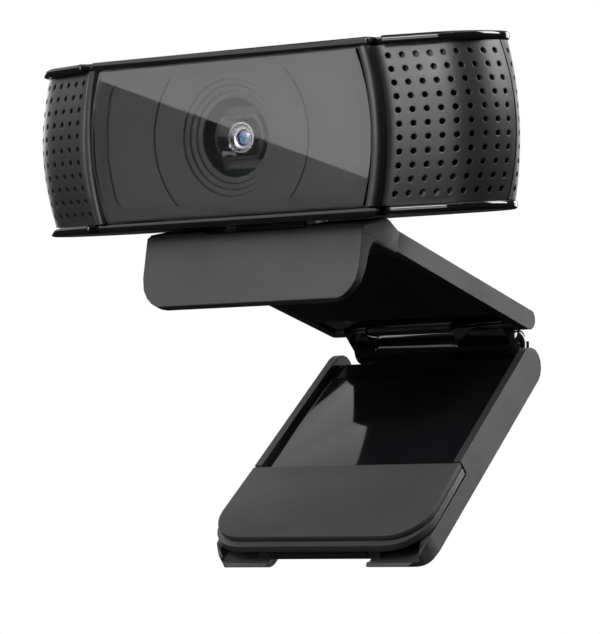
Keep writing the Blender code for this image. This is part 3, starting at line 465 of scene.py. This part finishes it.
def wall_point(along, level, depth, side):
    """A point of the head's wall: along the side, up it, and inwards from its surface."""
    ahead = min(1.0, max(0.0, along / SEAM_ALONG))
    behind = min(1.0, max(0.0, (REAR_ALONG - along) / (REAR_ALONG - SEAM_ALONG)))
    bow = COLUMN_ARC * (1 - ARC_FADE * ahead) * behind
    rise = (level / SHEET_HALF) ** 2
    point, normal = on_curve(along - bow * rise)
    depth += CROWN * rise * min(1.0, 2 - 2 * ahead)
    if along < VALLEY_WIDE:
        depth += VALLEY_DEEP * (1 - along / VALLEY_WIDE) ** 2
    x, y = point - normal * depth
    x -= SIDE_BULGE * end_share(point.x) * rise
    return side * x, y, level


# A cell of the wall is a square whose rim has 16 points, level with the hole's 16 corners.
CUTS = (0.0, 0.5 - math.tan(math.pi / 8) / 2, 0.5, 0.5 + math.tan(math.pi / 8) / 2, 1.0)
RIM = ([(f, 0.0) for f in CUTS[:4]] + [(1.0, f) for f in CUTS[:4]]
       + [(1.0 - f, 1.0) for f in CUTS[:4]] + [(0.0, 1.0 - f) for f in CUTS[:4]])


def wall(columns, rows, holed, thick, side):
    """A curved sheet with round holes in some of its cells."""
    mesh = bmesh.new()

    def corner(along, level, depth):
        return mesh.verts.new(wall_point(along, level, depth, side))

    def ring(first, second):
        for i in range(len(first)):
            j = (i + 1) % len(first)
            mesh.faces.new((first[i], first[j], second[j], second[i]))

    for i, (left, right) in enumerate(zip(columns, columns[1:])):
        for j, (low, high) in enumerate(zip(rows, rows[1:])):
            middle = ((left + right) / 2, (low + high) / 2)

            def rim(depth):
                return [corner(left + (right - left) * a, low + (high - low) * b, depth)
                        for a, b in RIM]

            def circle(radius, depth):
                made = []
                for a, b in RIM:
                    turn = math.atan2(b - 0.5, a - 0.5)
                    made.append(corner(middle[0] + radius * math.cos(turn),
                                       middle[1] + radius * math.sin(turn), depth))
                return made

            if holed(i, j):
                loops = [rim(0.0)]
                loops += [circle(HOLE_RADIUS + extra, depth) for extra, depth in HOLE_EDGE]
                loops += [circle(HOLE_RADIUS, thick), rim(thick)]
                for first, second in zip(loops, loops[1:]):
                    ring(first, second)
            else:
                for depth in (0.0, thick):
                    net = [[corner(left + (right - left) * a, low + (high - low) * b, depth)
                            for a in CUTS] for b in CUTS]
                    for m in range(4):
                        for n in range(4):
                            mesh.faces.new((net[m][n], net[m][n + 1], net[m + 1][n + 1], net[m + 1][n]))
    bmesh.ops.remove_doubles(mesh, verts=mesh.verts, dist=0.0005)
    edges = [edge for edge in mesh.edges if edge.is_boundary]
    bmesh.ops.bridge_loops(mesh, edges=edges)
    bmesh.ops.recalc_face_normals(mesh, faces=mesh.faces)
    return mesh


def hole_rows():
    """The levels between the rows of the wall's cells."""
    top = HOLE_ROWS * ROW_PITCH / 2
    return [-SHEET_HALF] + [-top + ROW_PITCH * i for i in range(HOLE_ROWS + 1)] + [SHEET_HALF]


def is_hole_row(j):
    return 1 <= j <= HOLE_ROWS


def build_grille(name, side):
    """A perforated sheet from the bezel to the seam."""
    start = FIRST_COLUMN - PITCH / 2
    columns = [-0.3, start / 2] + [start + PITCH * i for i in range(HOLE_COLUMNS + 1)]
    columns.append(SEAM_ALONG - SEAM / 2)
    mesh = wall(columns, hole_rows(), lambda i, j: is_hole_row(j) and 2 <= i < 2 + HOLE_COLUMNS,
                GRILLE_THICK, side)
    piece(name + "_perforated", close_up(mesh, HEAD_MM), GRILLE, "head", "grille", name)


def build_rear_shell():
    """Side cheeks with the last hole columns, rear corners and rear face, in one shell."""
    start = SEAM_ALONG + SEAM / 2
    first = start + CHEEK_MARGIN
    columns = [start] + [first + PITCH * i for i in range(CHEEK_COLUMNS + 1)]
    rest = REAR_ALONG - columns[-1]
    steps = round(rest / PITCH)
    columns += [columns[-1] + rest * (i + 1) / steps for i in range(steps)]
    whole = bmesh.new()
    for side in (-1, 1):
        half = wall(columns, hole_rows(),
                    lambda i, j: is_hole_row(j) and 1 <= i < 1 + CHEEK_COLUMNS, SHELL_THICK, side)
        middle = [face for face in half.faces
                  if all(abs(vertex.co.x) < 0.001 for vertex in face.verts)]
        bmesh.ops.delete(half, geom=middle, context="FACES")
        data = bpy.data.meshes.new("rear_half")
        half.to_mesh(data)
        half.free()
        whole.from_mesh(data)
        bpy.data.meshes.remove(data)
    piece("rear_housing_perforated", close_up(whole, HEAD_MM), MATTE, "head", "matte_shell",
          "rear_housing")


# ---- head: gloss covers, bezels and window ------------------------------------------------------
CAP_START = -0.2                   # where a cap starts along the side
CAP_STEPS = 45
CAP_GAP = 0.12                     # between a cap and the centre piece
CAP_FRONT = 2.6                    # depth of a cap's inner front corner
CAP_NOTCH = Vector((0.9, 2.2))     # the notch's corner: in from the start of the sweep, and depth
CAP_ROUND = 0.60
TRIM_ROUND = 0.35


def cap_outline(side):
    """An end cap from above: it follows the wall, with a notch where the bezel's hollow runs."""
    outer = []
    for i in range(CAP_STEPS + 1):
        along = CAP_START + (REAR_ALONG - TRIM_HALF) * i / CAP_STEPS
        point, normal = on_curve(along)
        point = point + normal * COVER_PROUD
        if point.y > SIDE_SEAM and point.x < TRIM_HALF + 0.4:    # clear of the inner corner
            break
        outer.append((point.x - SIDE_BULGE * end_share(point.x), point.y))
    edge = TRIM_HALF + CAP_GAP
    outer.append((edge, REAR + COVER_PROUD))
    outer.append((edge, CAP_FRONT))
    outer.append((SWEEP_START.x - CAP_NOTCH.x, CAP_NOTCH.y))
    return [(side * x, y) for x, y in outer]


def build_covers():
    """Each cover is a centre piece over the window with a separate cap at each end."""
    for name, sign in (("top", 1), ("bottom", -1)):
        node = name + "_cover"
        mesh = cad_copy(node)
        bmesh.ops.scale(mesh, vec=(MM, MM, MM), verts=mesh.verts)
        bmesh.ops.transform(mesh, matrix=HEAD_MM.inverted(), verts=mesh.verts)
        for side in (-1, 1):
            cut = bmesh.ops.bisect_plane(mesh, geom=mesh.verts[:] + mesh.edges[:] + mesh.faces[:],
                                         plane_co=(side * TRIM_HALF, 0, 0), plane_no=(side, 0, 0),
                                         clear_outer=True, dist=0.0001)
            open_edges = [e for e in cut["geom_cut"] if isinstance(e, bmesh.types.BMEdge)]
            bmesh.ops.contextual_create(mesh, geom=open_edges)
        rounded(mesh, TRIM_ROUND, 3, 60.0)
        piece(name + "_trim", close_up(mesh, HEAD_MM), GLOSS, "head", "gloss_trim", node)
        for word, side in (("left", -1), ("right", 1)):
            ends = sorted((sign * (HALF_HEIGHT - COVER_THICK), sign * HALF_HEIGHT))
            cap = rounded(prism(cap_outline(side), *ends), CAP_ROUND, 5)
            piece(f"{name}_{word}_cap", close_up(cap, HEAD_MM), GLOSS, "head", "gloss_trim", node)


def window_half(level):
    """Half width of the window at a level."""
    return WINDOW_HALF - WINDOW_BULGE * (level / HALF_HEIGHT) ** 2


BEZEL_STEPS = 28
# (outwards from the window's edge, depth)
BEZEL_SECTION = ((0.10, 1.0), (0.10, -0.10), (0.22, -0.28), (0.45, -0.38), (0.95, -0.36),
                 (1.40, -0.20), (1.68, 0.05), (1.80, 0.45), (1.80, 2.60), (0.90, 2.60))


def build_bezel(name, side):
    """An upright trim beside the window: a raised frame with a rounded front."""
    mesh = bmesh.new()
    rows = []
    for i in range(BEZEL_STEPS + 1):
        level = SHEET_HALF * (2 * i / BEZEL_STEPS - 1)
        rows.append([mesh.verts.new((side * (window_half(level) + dx), y, level))
                     for dx, y in BEZEL_SECTION])
    for lower, upper in zip(rows, rows[1:]):
        for i in range(len(lower)):
            j = (i + 1) % len(lower)
            mesh.faces.new((lower[i], lower[j], upper[j], upper[i]))
    mesh.faces.new(rows[0])
    mesh.faces.new(rows[-1])
    piece(name + "_rounded", close_up(mesh, HEAD_MM), GRILLE, "head", "gloss_trim", name, sharp=50)


CLEAR_HALF = 25.6                  # the clear area inside the window's printed border
CLEAR_LEVEL = 10.7
CLEAR_BULGE = 1.9
CLEAR_CORNER = 3.0
BORDER_FRONT = 0.86
BORDER_REAR = 0.92
OUTLINE_STEPS = 24


def clear_outline():
    """The clear area: level top and bottom, bowed ends and rounded corners."""
    straight = CLEAR_LEVEL - CLEAR_CORNER
    right = []
    for i in range(9):
        level = straight * (i / 4 - 1)
        right.append((CLEAR_HALF - CLEAR_BULGE * (level / CLEAR_LEVEL) ** 2, level))
    top = arc((right[-1][0] - CLEAR_CORNER, straight), CLEAR_CORNER, 8, 90, 8)
    bottom = [(a, -b) for a, b in reversed(top)]
    half = bottom + right + top
    return half + [(-a, b) for a, b in reversed(half)]


def window_outline(margin):
    """The window's own outline, drawn in by a margin at its ends."""
    levels = [SHEET_HALF * (2 * i / OUTLINE_STEPS - 1) for i in range(OUTLINE_STEPS + 1)]
    right = [(window_half(level) - margin, level) for level in levels]
    return right + [(-x, z) for x, z in reversed(right)]


def build_border():
    """The black printed border behind the glass, as a thin ring."""
    mesh = bmesh.new()
    outlines = (window_outline(0.2), clear_outline())
    for depth in (BORDER_FRONT, BORDER_REAR):
        edges = []
        for outline in outlines:
            verts = [mesh.verts.new((x, depth, z)) for x, z in outline]
            edges += [mesh.edges.new((verts[i - 1], verts[i])) for i in range(len(verts))]
        bmesh.ops.triangle_fill(mesh, edges=edges, use_beauty=True)
    for outline in outlines:
        for i in range(len(outline)):
            (ax, az), (bx, bz) = outline[i - 1], outline[i]
            mesh.faces.new([mesh.verts.new(place) for place in
                            ((ax, BORDER_FRONT, az), (bx, BORDER_FRONT, bz),
                             (bx, BORDER_REAR, bz), (ax, BORDER_REAR, az))])
    piece("window_border", close_up(mesh, HEAD_MM), PRINT, "head", "gloss_trim")


# ---- head: plate behind the window ---------------------------------------------------------------
PLATE_FRONT = 1.1
PLATE_REAR = 2.6
RING_OPENING = 6.6
RING_STEP = 1.03
RING_DEPTH = 0.42
RING_STEPS = 3
GROOVE_RADIUS = 15.7
GROOVE_WIDE = 0.36
GROOVE_DEEP = 0.28
PLATE_FLATS = (18.0, 21.0, 25.0, 31.0)    # radii of the flat part's rings


def plate_profile():
    """(radius, depth) from the opening outwards: the steps, the fine groove, then flat."""
    depth = PLATE_FRONT + RING_STEPS * RING_DEPTH
    points = [(RING_OPENING, PLATE_REAR), (RING_OPENING, depth + 0.1), (RING_OPENING + 0.08, depth)]
    for step in range(1, RING_STEPS + 1):
        radius = RING_OPENING + step * RING_STEP
        points += [(radius - 0.08, depth), (radius - 0.02, depth - 0.05)]
        depth -= RING_DEPTH
        points += [(radius + 0.05, depth + 0.12), (radius + 0.18, depth)]
    near, far = GROOVE_RADIUS - GROOVE_WIDE / 2, GROOVE_RADIUS + GROOVE_WIDE / 2
    floor = depth + GROOVE_DEEP
    points += [(12.5, depth), (near, depth), (near + 0.05, floor), (far - 0.05, floor), (far, depth)]
    points += [(radius, depth) for radius in PLATE_FLATS]
    return points + [(PLATE_FLATS[-1], PLATE_REAR)]


def build_plate():
    """The textured plate: turned rings, drawn in to the window's outline."""
    mesh = turned(plate_profile(), 180)
    for vertex in mesh.verts:
        level = max(-SHEET_HALF, min(SHEET_HALF, vertex.co.z))
        reach = window_half(level) - 0.3
        vertex.co.z = level
        vertex.co.x = max(-reach, min(reach, vertex.co.x))
    bmesh.ops.dissolve_degenerate(mesh, edges=mesh.edges, dist=0.0005)
    piece("plate_rings", close_up(mesh, HEAD_MM), PLATE, "head", "textured_plate", "lens_plate",
          "left_light_guide", "right_light_guide", sharp=25)


# ---- head: lens group ---------------------------------------------------------------------------
SHADE_STEPS = 60
# (radius, half height between the flats, depth)
SHADE_RINGS = ((5.15, 3.8, 7.0), (5.15, 3.8, 3.75), (5.02, 3.68, 3.6), (4.45, 3.25, 3.6),
               (4.30, 3.12, 3.75), (3.6, 3.0, 4.55), (2.85, 2.84, 4.9), (2.85, 2.84, 7.0))
# (radius, depth)
BARREL_PROFILE = ((2.62, 10.0), (2.62, 5.9), (2.55, 5.82), (2.55, 5.55), (2.62, 5.47), (2.62, 4.2),
                  (2.55, 4.1), (2.32, 4.08), (2.24, 4.16), (2.18, 4.3), (1.92, 4.55), (1.88, 4.70),
                  (1.62, 4.80), (1.50, 4.98), (1.42, 5.4), (1.42, 10.0))
RETAINER_PROFILE = ((1.60, 4.80), (1.56, 4.72), (1.46, 4.72), (1.40, 4.82), (1.38, 5.1),
                    (1.46, 5.1))
LENS_REAR = 6.2
DOME_DEEP = 0.55


def build_shade():
    """The frame round the barrel: rings with a level top and bottom, funnelling inwards."""
    mesh = bmesh.new()
    loops = []
    for radius, flat, depth in SHADE_RINGS:
        loop = []
        for i in range(SHADE_STEPS):
            angle = 2 * math.pi * i / SHADE_STEPS
            x = radius * math.cos(angle)
            z = max(-flat, min(flat, radius * math.sin(angle)))
            loop.append(mesh.verts.new((x, depth, z)))
        loops.append(loop)
    for i in range(len(loops)):
        first, second = loops[i], loops[(i + 1) % len(loops)]
        for k in range(SHADE_STEPS):
            m = (k + 1) % SHADE_STEPS
            mesh.faces.new((first[k], first[m], second[m], second[k]))
    piece("lens_shade_frame", close_up(mesh, HEAD_MM), GLOSS, "head", "gloss_trim", "lens_shade",
          sharp=28)


def build_lens():
    """The barrel, the ring that holds the lens in it, and the domed lens."""
    piece("lens_barrel_turned", close_up(turned(BARREL_PROFILE), HEAD_MM), SATIN, "lens",
          "gloss_trim", "lens_barrel", sharp=28)
    piece("lens_retainer", close_up(turned(RETAINER_PROFILE), HEAD_MM), CHROME, "lens", "steel",
          sharp=40)
    glass = []
    for turn in range(0, 91, 10):
        angle = math.radians(turn)
        glass.append((LENS_RADIUS * math.sin(angle), LENS_FACE + DOME_DEEP * (1 - math.cos(angle))))
    glass += [(LENS_RADIUS, LENS_REAR), (0.0, LENS_REAR)]
    piece("lens_dome", close_up(turned(glass), HEAD_MM), LENS, "lens", "lens", "lens_glass",
          sharp=60)


# ---- clip: riser under the head and the rear hinge ----------------------------------------------
RISER_INNER = 9.9
RISER_SLOPE = math.radians(24.6)
RISER_SHOULDER = Vector((4.4, 3.42))    # behind the tilt axis, and level in the row frame
RISER_BACK = 4.6
RISER_ROUND = 0.3


def build_risers():
    """Raised shoulders beside the neck: their crest lies just under the tilt axis.

    The head's underside turns about that crest, so it stays clear of them at every tilt.
    """
    axis = TILT_AXIS / MM
    low, high = (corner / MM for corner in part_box("arm_shell"))
    front = low.y + 0.25
    crest = axis.z - 0.06
    steep = math.tan(RISER_SLOPE)
    section = [(front, -1.0), (front, crest - (axis.y - front) * steep - 0.2),
               (front + 0.3, crest - (axis.y - front - 0.3) * steep), (axis.y, crest),
               (axis.y + 1.2, crest - 0.05), (axis.y + RISER_SHOULDER.x, RISER_SHOULDER.y),
               (axis.y + RISER_BACK, 2.6), (axis.y + RISER_BACK, -0.5)]
    outer = high.x - 0.15
    for word, side in (("left", -1), ("right", 1)):
        near, far = sorted((side * RISER_INNER, side * outer))
        mesh = rounded(prism(section, near, far, "X"), RISER_ROUND, 3, 50.0)
        piece(word + "_neck_riser", close_up(mesh, Matrix.Scale(MM, 4)), MATTE, "clip",
              "matte_shell")


HINGE_MM = (Matrix.Translation(LEG_AXIS) @ Matrix.Rotation(math.radians(-90), 4, "Z")
            @ Matrix.Scale(MM, 4))
BARREL = 2.66                      # radius of the sleeves
BARREL_BORE = 0.9
BARREL_END = 1.1                   # rounding of the hinge's outer ends
BARREL_EDGE = 0.18                 # rounding of the other ends
BARREL_GAP = 0.06
TROUGH_INNER = BARREL + 0.22
TROUGH_OUTER = BARREL + 0.85
BARREL_SPLITS = (-17.0, -11.7, 5.6, 17.0)
TROUGH_HALF = 16.6
NOTCH = 9.0                        # the leg liner's hinge notch reaches this far from the axis
SILL = 4.9                         # the liner's face carries on to here
SILL_TOP = 0.9
LINER_CUT = 0.42                   # the arm liner's plate starts at this level
EAR_MARGIN = 0.35


def sleeve_profile(low, high, first_round, last_round):
    """(radius, place along the pin) of one sleeve, with its two ends rounded."""
    start, stop = low + BARREL_GAP, high - BARREL_GAP
    profile = [(BARREL_BORE, start)]
    for turn in range(0, 91, 15):
        angle = math.radians(turn)
        profile.append((BARREL - first_round + first_round * math.sin(angle),
                        start + first_round * (1 - math.cos(angle))))
    for turn in range(0, 91, 15):
        angle = math.radians(turn)
        profile.append((BARREL - last_round + last_round * math.cos(angle),
                        stop - last_round * (1 - math.sin(angle))))
    return profile + [(BARREL_BORE, stop)]


def build_hinge():
    """Three gloss sleeves on one pin: the outer two turn with the arm, the middle one with the leg."""
    spans = zip(BARREL_SPLITS, BARREL_SPLITS[1:])
    sleeves = (("left", "clip", BARREL_END, BARREL_EDGE), ("middle", "leg", BARREL_EDGE, BARREL_EDGE),
               ("right", "clip", BARREL_EDGE, BARREL_END))
    for (word, body, *rounds), span in zip(sleeves, spans):
        mesh = turned(sleeve_profile(*span, *rounds), 64)
        piece(word + "_hinge_sleeve", close_up(mesh, HINGE_MM), GLOSS, body, "gloss_trim", sharp=40)


def build_trough():
    """What closes the leg's hinge notch: a trough under the sleeves and a sill before them."""
    back = -NOTCH - 0.4
    trough = arc((0, 0), TROUGH_INNER, -30, -90, 20)
    trough += [(back, -TROUGH_INNER), (back, -TROUGH_OUTER)]
    trough += arc((0, 0), TROUGH_OUTER, -90, -30, 20)
    mesh = prism(trough, -TROUGH_HALF, TROUGH_HALF, "X")
    piece("hinge_trough", close_up(mesh, LEG_MM), GLOSS, "leg", "gloss_trim", sharp=30)
    start = -NOTCH - 0.5
    sill = [(start, SILL_TOP), (start, -TROUGH_INNER), (-SILL, -TROUGH_INNER),
            (-SILL, SILL_TOP - 0.3), (-SILL - 0.3, SILL_TOP)]
    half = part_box("leg_liner")[1].x / MM
    mesh = prism(sill, -half, half, "X")
    piece("liner_sill", close_up(mesh, LEG_MM), GLOSS, "leg", "gloss_trim", sharp=30)


def build_arm_liner():
    """The gloss liner under the arm, with short ears that reach back to the hinge."""
    mesh = cad_copy("arm_liner")
    bmesh.ops.bisect_plane(mesh, geom=mesh.verts[:] + mesh.edges[:] + mesh.faces[:],
                           plane_co=(0, 0, LINER_CUT), plane_no=(0, 0, -1), clear_outer=True,
                           dist=0.0001)
    bmesh.ops.holes_fill(mesh, edges=[e for e in mesh.edges if e.is_boundary])
    bmesh.ops.scale(mesh, vec=(MM, MM, MM), verts=mesh.verts)
    piece("arm_liner_plate", mesh, GLOSS, "clip", "gloss_trim", "arm_liner")
    hinge = LEG_AXIS / MM
    ear = ([(hinge.y - 6.4, 0.55), (hinge.y - 6.4, -0.15), (hinge.y - 2.4, hinge.z - 0.9)]
           + arc((hinge.y, hinge.z), BARREL - 0.12, 200, 385, 20)
           + [(hinge.y - 2.1, 0.55)])
    for word, (low, high) in (("left", BARREL_SPLITS[0:2]), ("right", BARREL_SPLITS[2:4])):
        mesh = rounded(prism(ear, low + EAR_MARGIN, high - EAR_MARGIN, "X"), 0.3, 3, 50.0)
        piece(word + "_hinge_ear", close_up(mesh, Matrix.Scale(MM, 4)), GLOSS, "clip", "gloss_trim")


# ---- light and floor ----------------------------------------------------------------------------
FLOOR_LEVEL = -0.262
WORLD_LIGHT = 0.025                # what the white surroundings add to the light on the object


def soft_light(name, width, height, power):
    """A rectangular light that the camera does not see."""
    data = bpy.data.lights.new(name, "AREA")
    data.shape = "RECTANGLE"
    data.size = width
    data.size_y = height
    data.energy = power
    light = bpy.data.objects.new(name, data)
    light.visible_camera = False
    bpy.context.scene.collection.objects.link(light)
    return light


def area_light(name, place, target, width, height, power):
    """A soft light at a place in metres, aimed at the target."""
    light = soft_light(name, width, height, power)
    back = (Vector(place) - Vector(target)).normalized()
    light.matrix_world = Matrix.Translation(place) @ back.to_track_quat("Z", "Y").to_matrix().to_4x4()


def mirror_light(name, spot, normal, reach, width, height, power, turn=0.0, aside=0.0, above=0.0):
    """A softbox that the camera sees reflected in a flat glossy face at the spot.

    Aside and above move it in its own plane, as shares of its size, so 0.5 puts an edge on the spot.
    """
    camera = bpy.context.scene.camera.matrix_world

    def mirrored(vector):
        return vector - 2 * vector.dot(normal) * normal

    out = mirrored((spot - camera.translation).normalized())
    up = mirrored(camera.to_3x3().col[1])
    up = (up - up.dot(out) * out).normalized()
    spin = Matrix.Rotation(turn, 3, out)
    up = spin @ up
    across = up.cross(out)
    place = spot + out * reach + across * aside * width + up * above * height
    light = soft_light(name, width, height, power)
    light.matrix_world = (Matrix.Translation(place)
                          @ Matrix((across, up, out)).transposed().to_4x4())


def build_stage():
    """A white floor and white surroundings for the camera, dim ones for the object."""
    floor_mesh = bmesh.new()
    bmesh.ops.create_grid(floor_mesh, x_segments=2, y_segments=2, size=6.0)
    data = bpy.data.meshes.new("floor")
    floor_mesh.to_mesh(data)
    floor_mesh.free()
    floor = bpy.data.objects.new("floor", data)
    floor.location.z = FLOOR_LEVEL
    surface = Surface("floor_white", (0.86, 0.86, 0.86), 0.9)
    surface.shade(surface.noise(300.0), 0.99, 1.01)
    data.materials.append(surface.material)
    bpy.context.scene.collection.objects.link(floor)
    floor.visible_diffuse = False
    floor.visible_glossy = False

    bpy.context.scene.view_settings.view_transform = "Standard"
    world = bpy.data.worlds.new("studio")
    bpy.context.scene.world = world
    world.use_nodes = True
    nodes, links = world.node_tree.nodes, world.node_tree.links
    seen, dim = nodes["Background"], nodes.new("ShaderNodeBackground")
    seen.inputs["Color"].default_value = (1, 1, 1, 1)
    seen.inputs["Strength"].default_value = 1.0
    dim.inputs["Color"].default_value = (1, 1, 1, 1)
    dim.inputs["Strength"].default_value = WORLD_LIGHT
    path, mix = nodes.new("ShaderNodeLightPath"), nodes.new("ShaderNodeMixShader")
    links.new(path.outputs["Is Camera Ray"], mix.inputs["Fac"])
    links.new(dim.outputs["Background"], mix.inputs[1])
    links.new(seen.outputs["Background"], mix.inputs[2])
    links.new(mix.outputs["Shader"], nodes["World Output"].inputs["Surface"])


def build_lights():
    """Lights round the object, then cards that the window, a grille and the leg's liner reflect."""
    centre = HEAD_CENTRE
    area_light("key", (-0.10, -0.80, 0.42), centre, 0.45, 0.45, 1.3)
    area_light("front_low", (0.05, -0.80, -0.22), LEG_AXIS, 0.45, 0.20, 1.2)
    area_light("grille_light", (0.28, -0.62, 0.52), centre, 0.35, 0.25, 0.8)
    area_light("overhead", (0.10, 0.05, 0.75), centre, 1.6, 0.45, 2.6)
    area_light("right_side", (0.55, 0.25, 0.55), centre, 0.35, 0.5, 8.5)
    area_light("rear", (0.10, 0.95, 0.45), centre, 0.6, 0.6, 5.0)
    area_light("rear_left", (-0.85, 0.35, 0.35), centre, 0.5, 0.5, 2.5)
    window = HEAD_FRAME @ Vector((4.5 * MM, 0, 0))
    mirror_light("window_card", window, HEAD_FRAME.to_3x3() @ Vector((0, -1, 0)), 0.55, 0.60, 0.50,
                 1.5, turn=math.radians(-20), above=0.5)
    grille = HEAD_FRAME @ Vector((36.5 * MM, 2.8 * MM, 9.0 * MM))
    facing = HEAD_FRAME.to_3x3() @ Vector((0.302, -0.937, 0.174))
    mirror_light("grille_card", grille, facing, 0.50, 0.22, 0.14, 1.6)
    liner = LEG_MM @ Vector((-14.6, -19.5, 0.9))
    mirror_light("liner_card", liner, LEG_NORMAL, 0.60, 0.60, 1.0, 2.2, aside=-0.5)


# ---- assembly -----------------------------------------------------------------------------------
make_camera()
for node, cad in frame["nodes"].items():
    cad.data.materials.clear()
    cad.data.materials.append(SLOT_MATERIALS[NODE_SLOTS[node]])
    cad.data.shade_smooth()
    cad.data.set_sharp_from_angle(angle=math.radians(34))
build_grille("left_grille", -1)
build_grille("right_grille", 1)
build_rear_shell()
build_covers()
build_bezel("left_bezel", -1)
build_bezel("right_bezel", 1)
build_border()
build_plate()
build_shade()
build_lens()
build_risers()
build_hinge()
build_trough()
build_arm_liner()
for node in ("arm_shell", "leg_shell"):
    even_normals(refined(node, 0.0))
for node in ("leg_liner", "foot_plate"):
    refined(node, 0.12)
for node in ("foot_pad", "front_housing"):
    refined(node, 0.0)
build_stage()
build_lights()
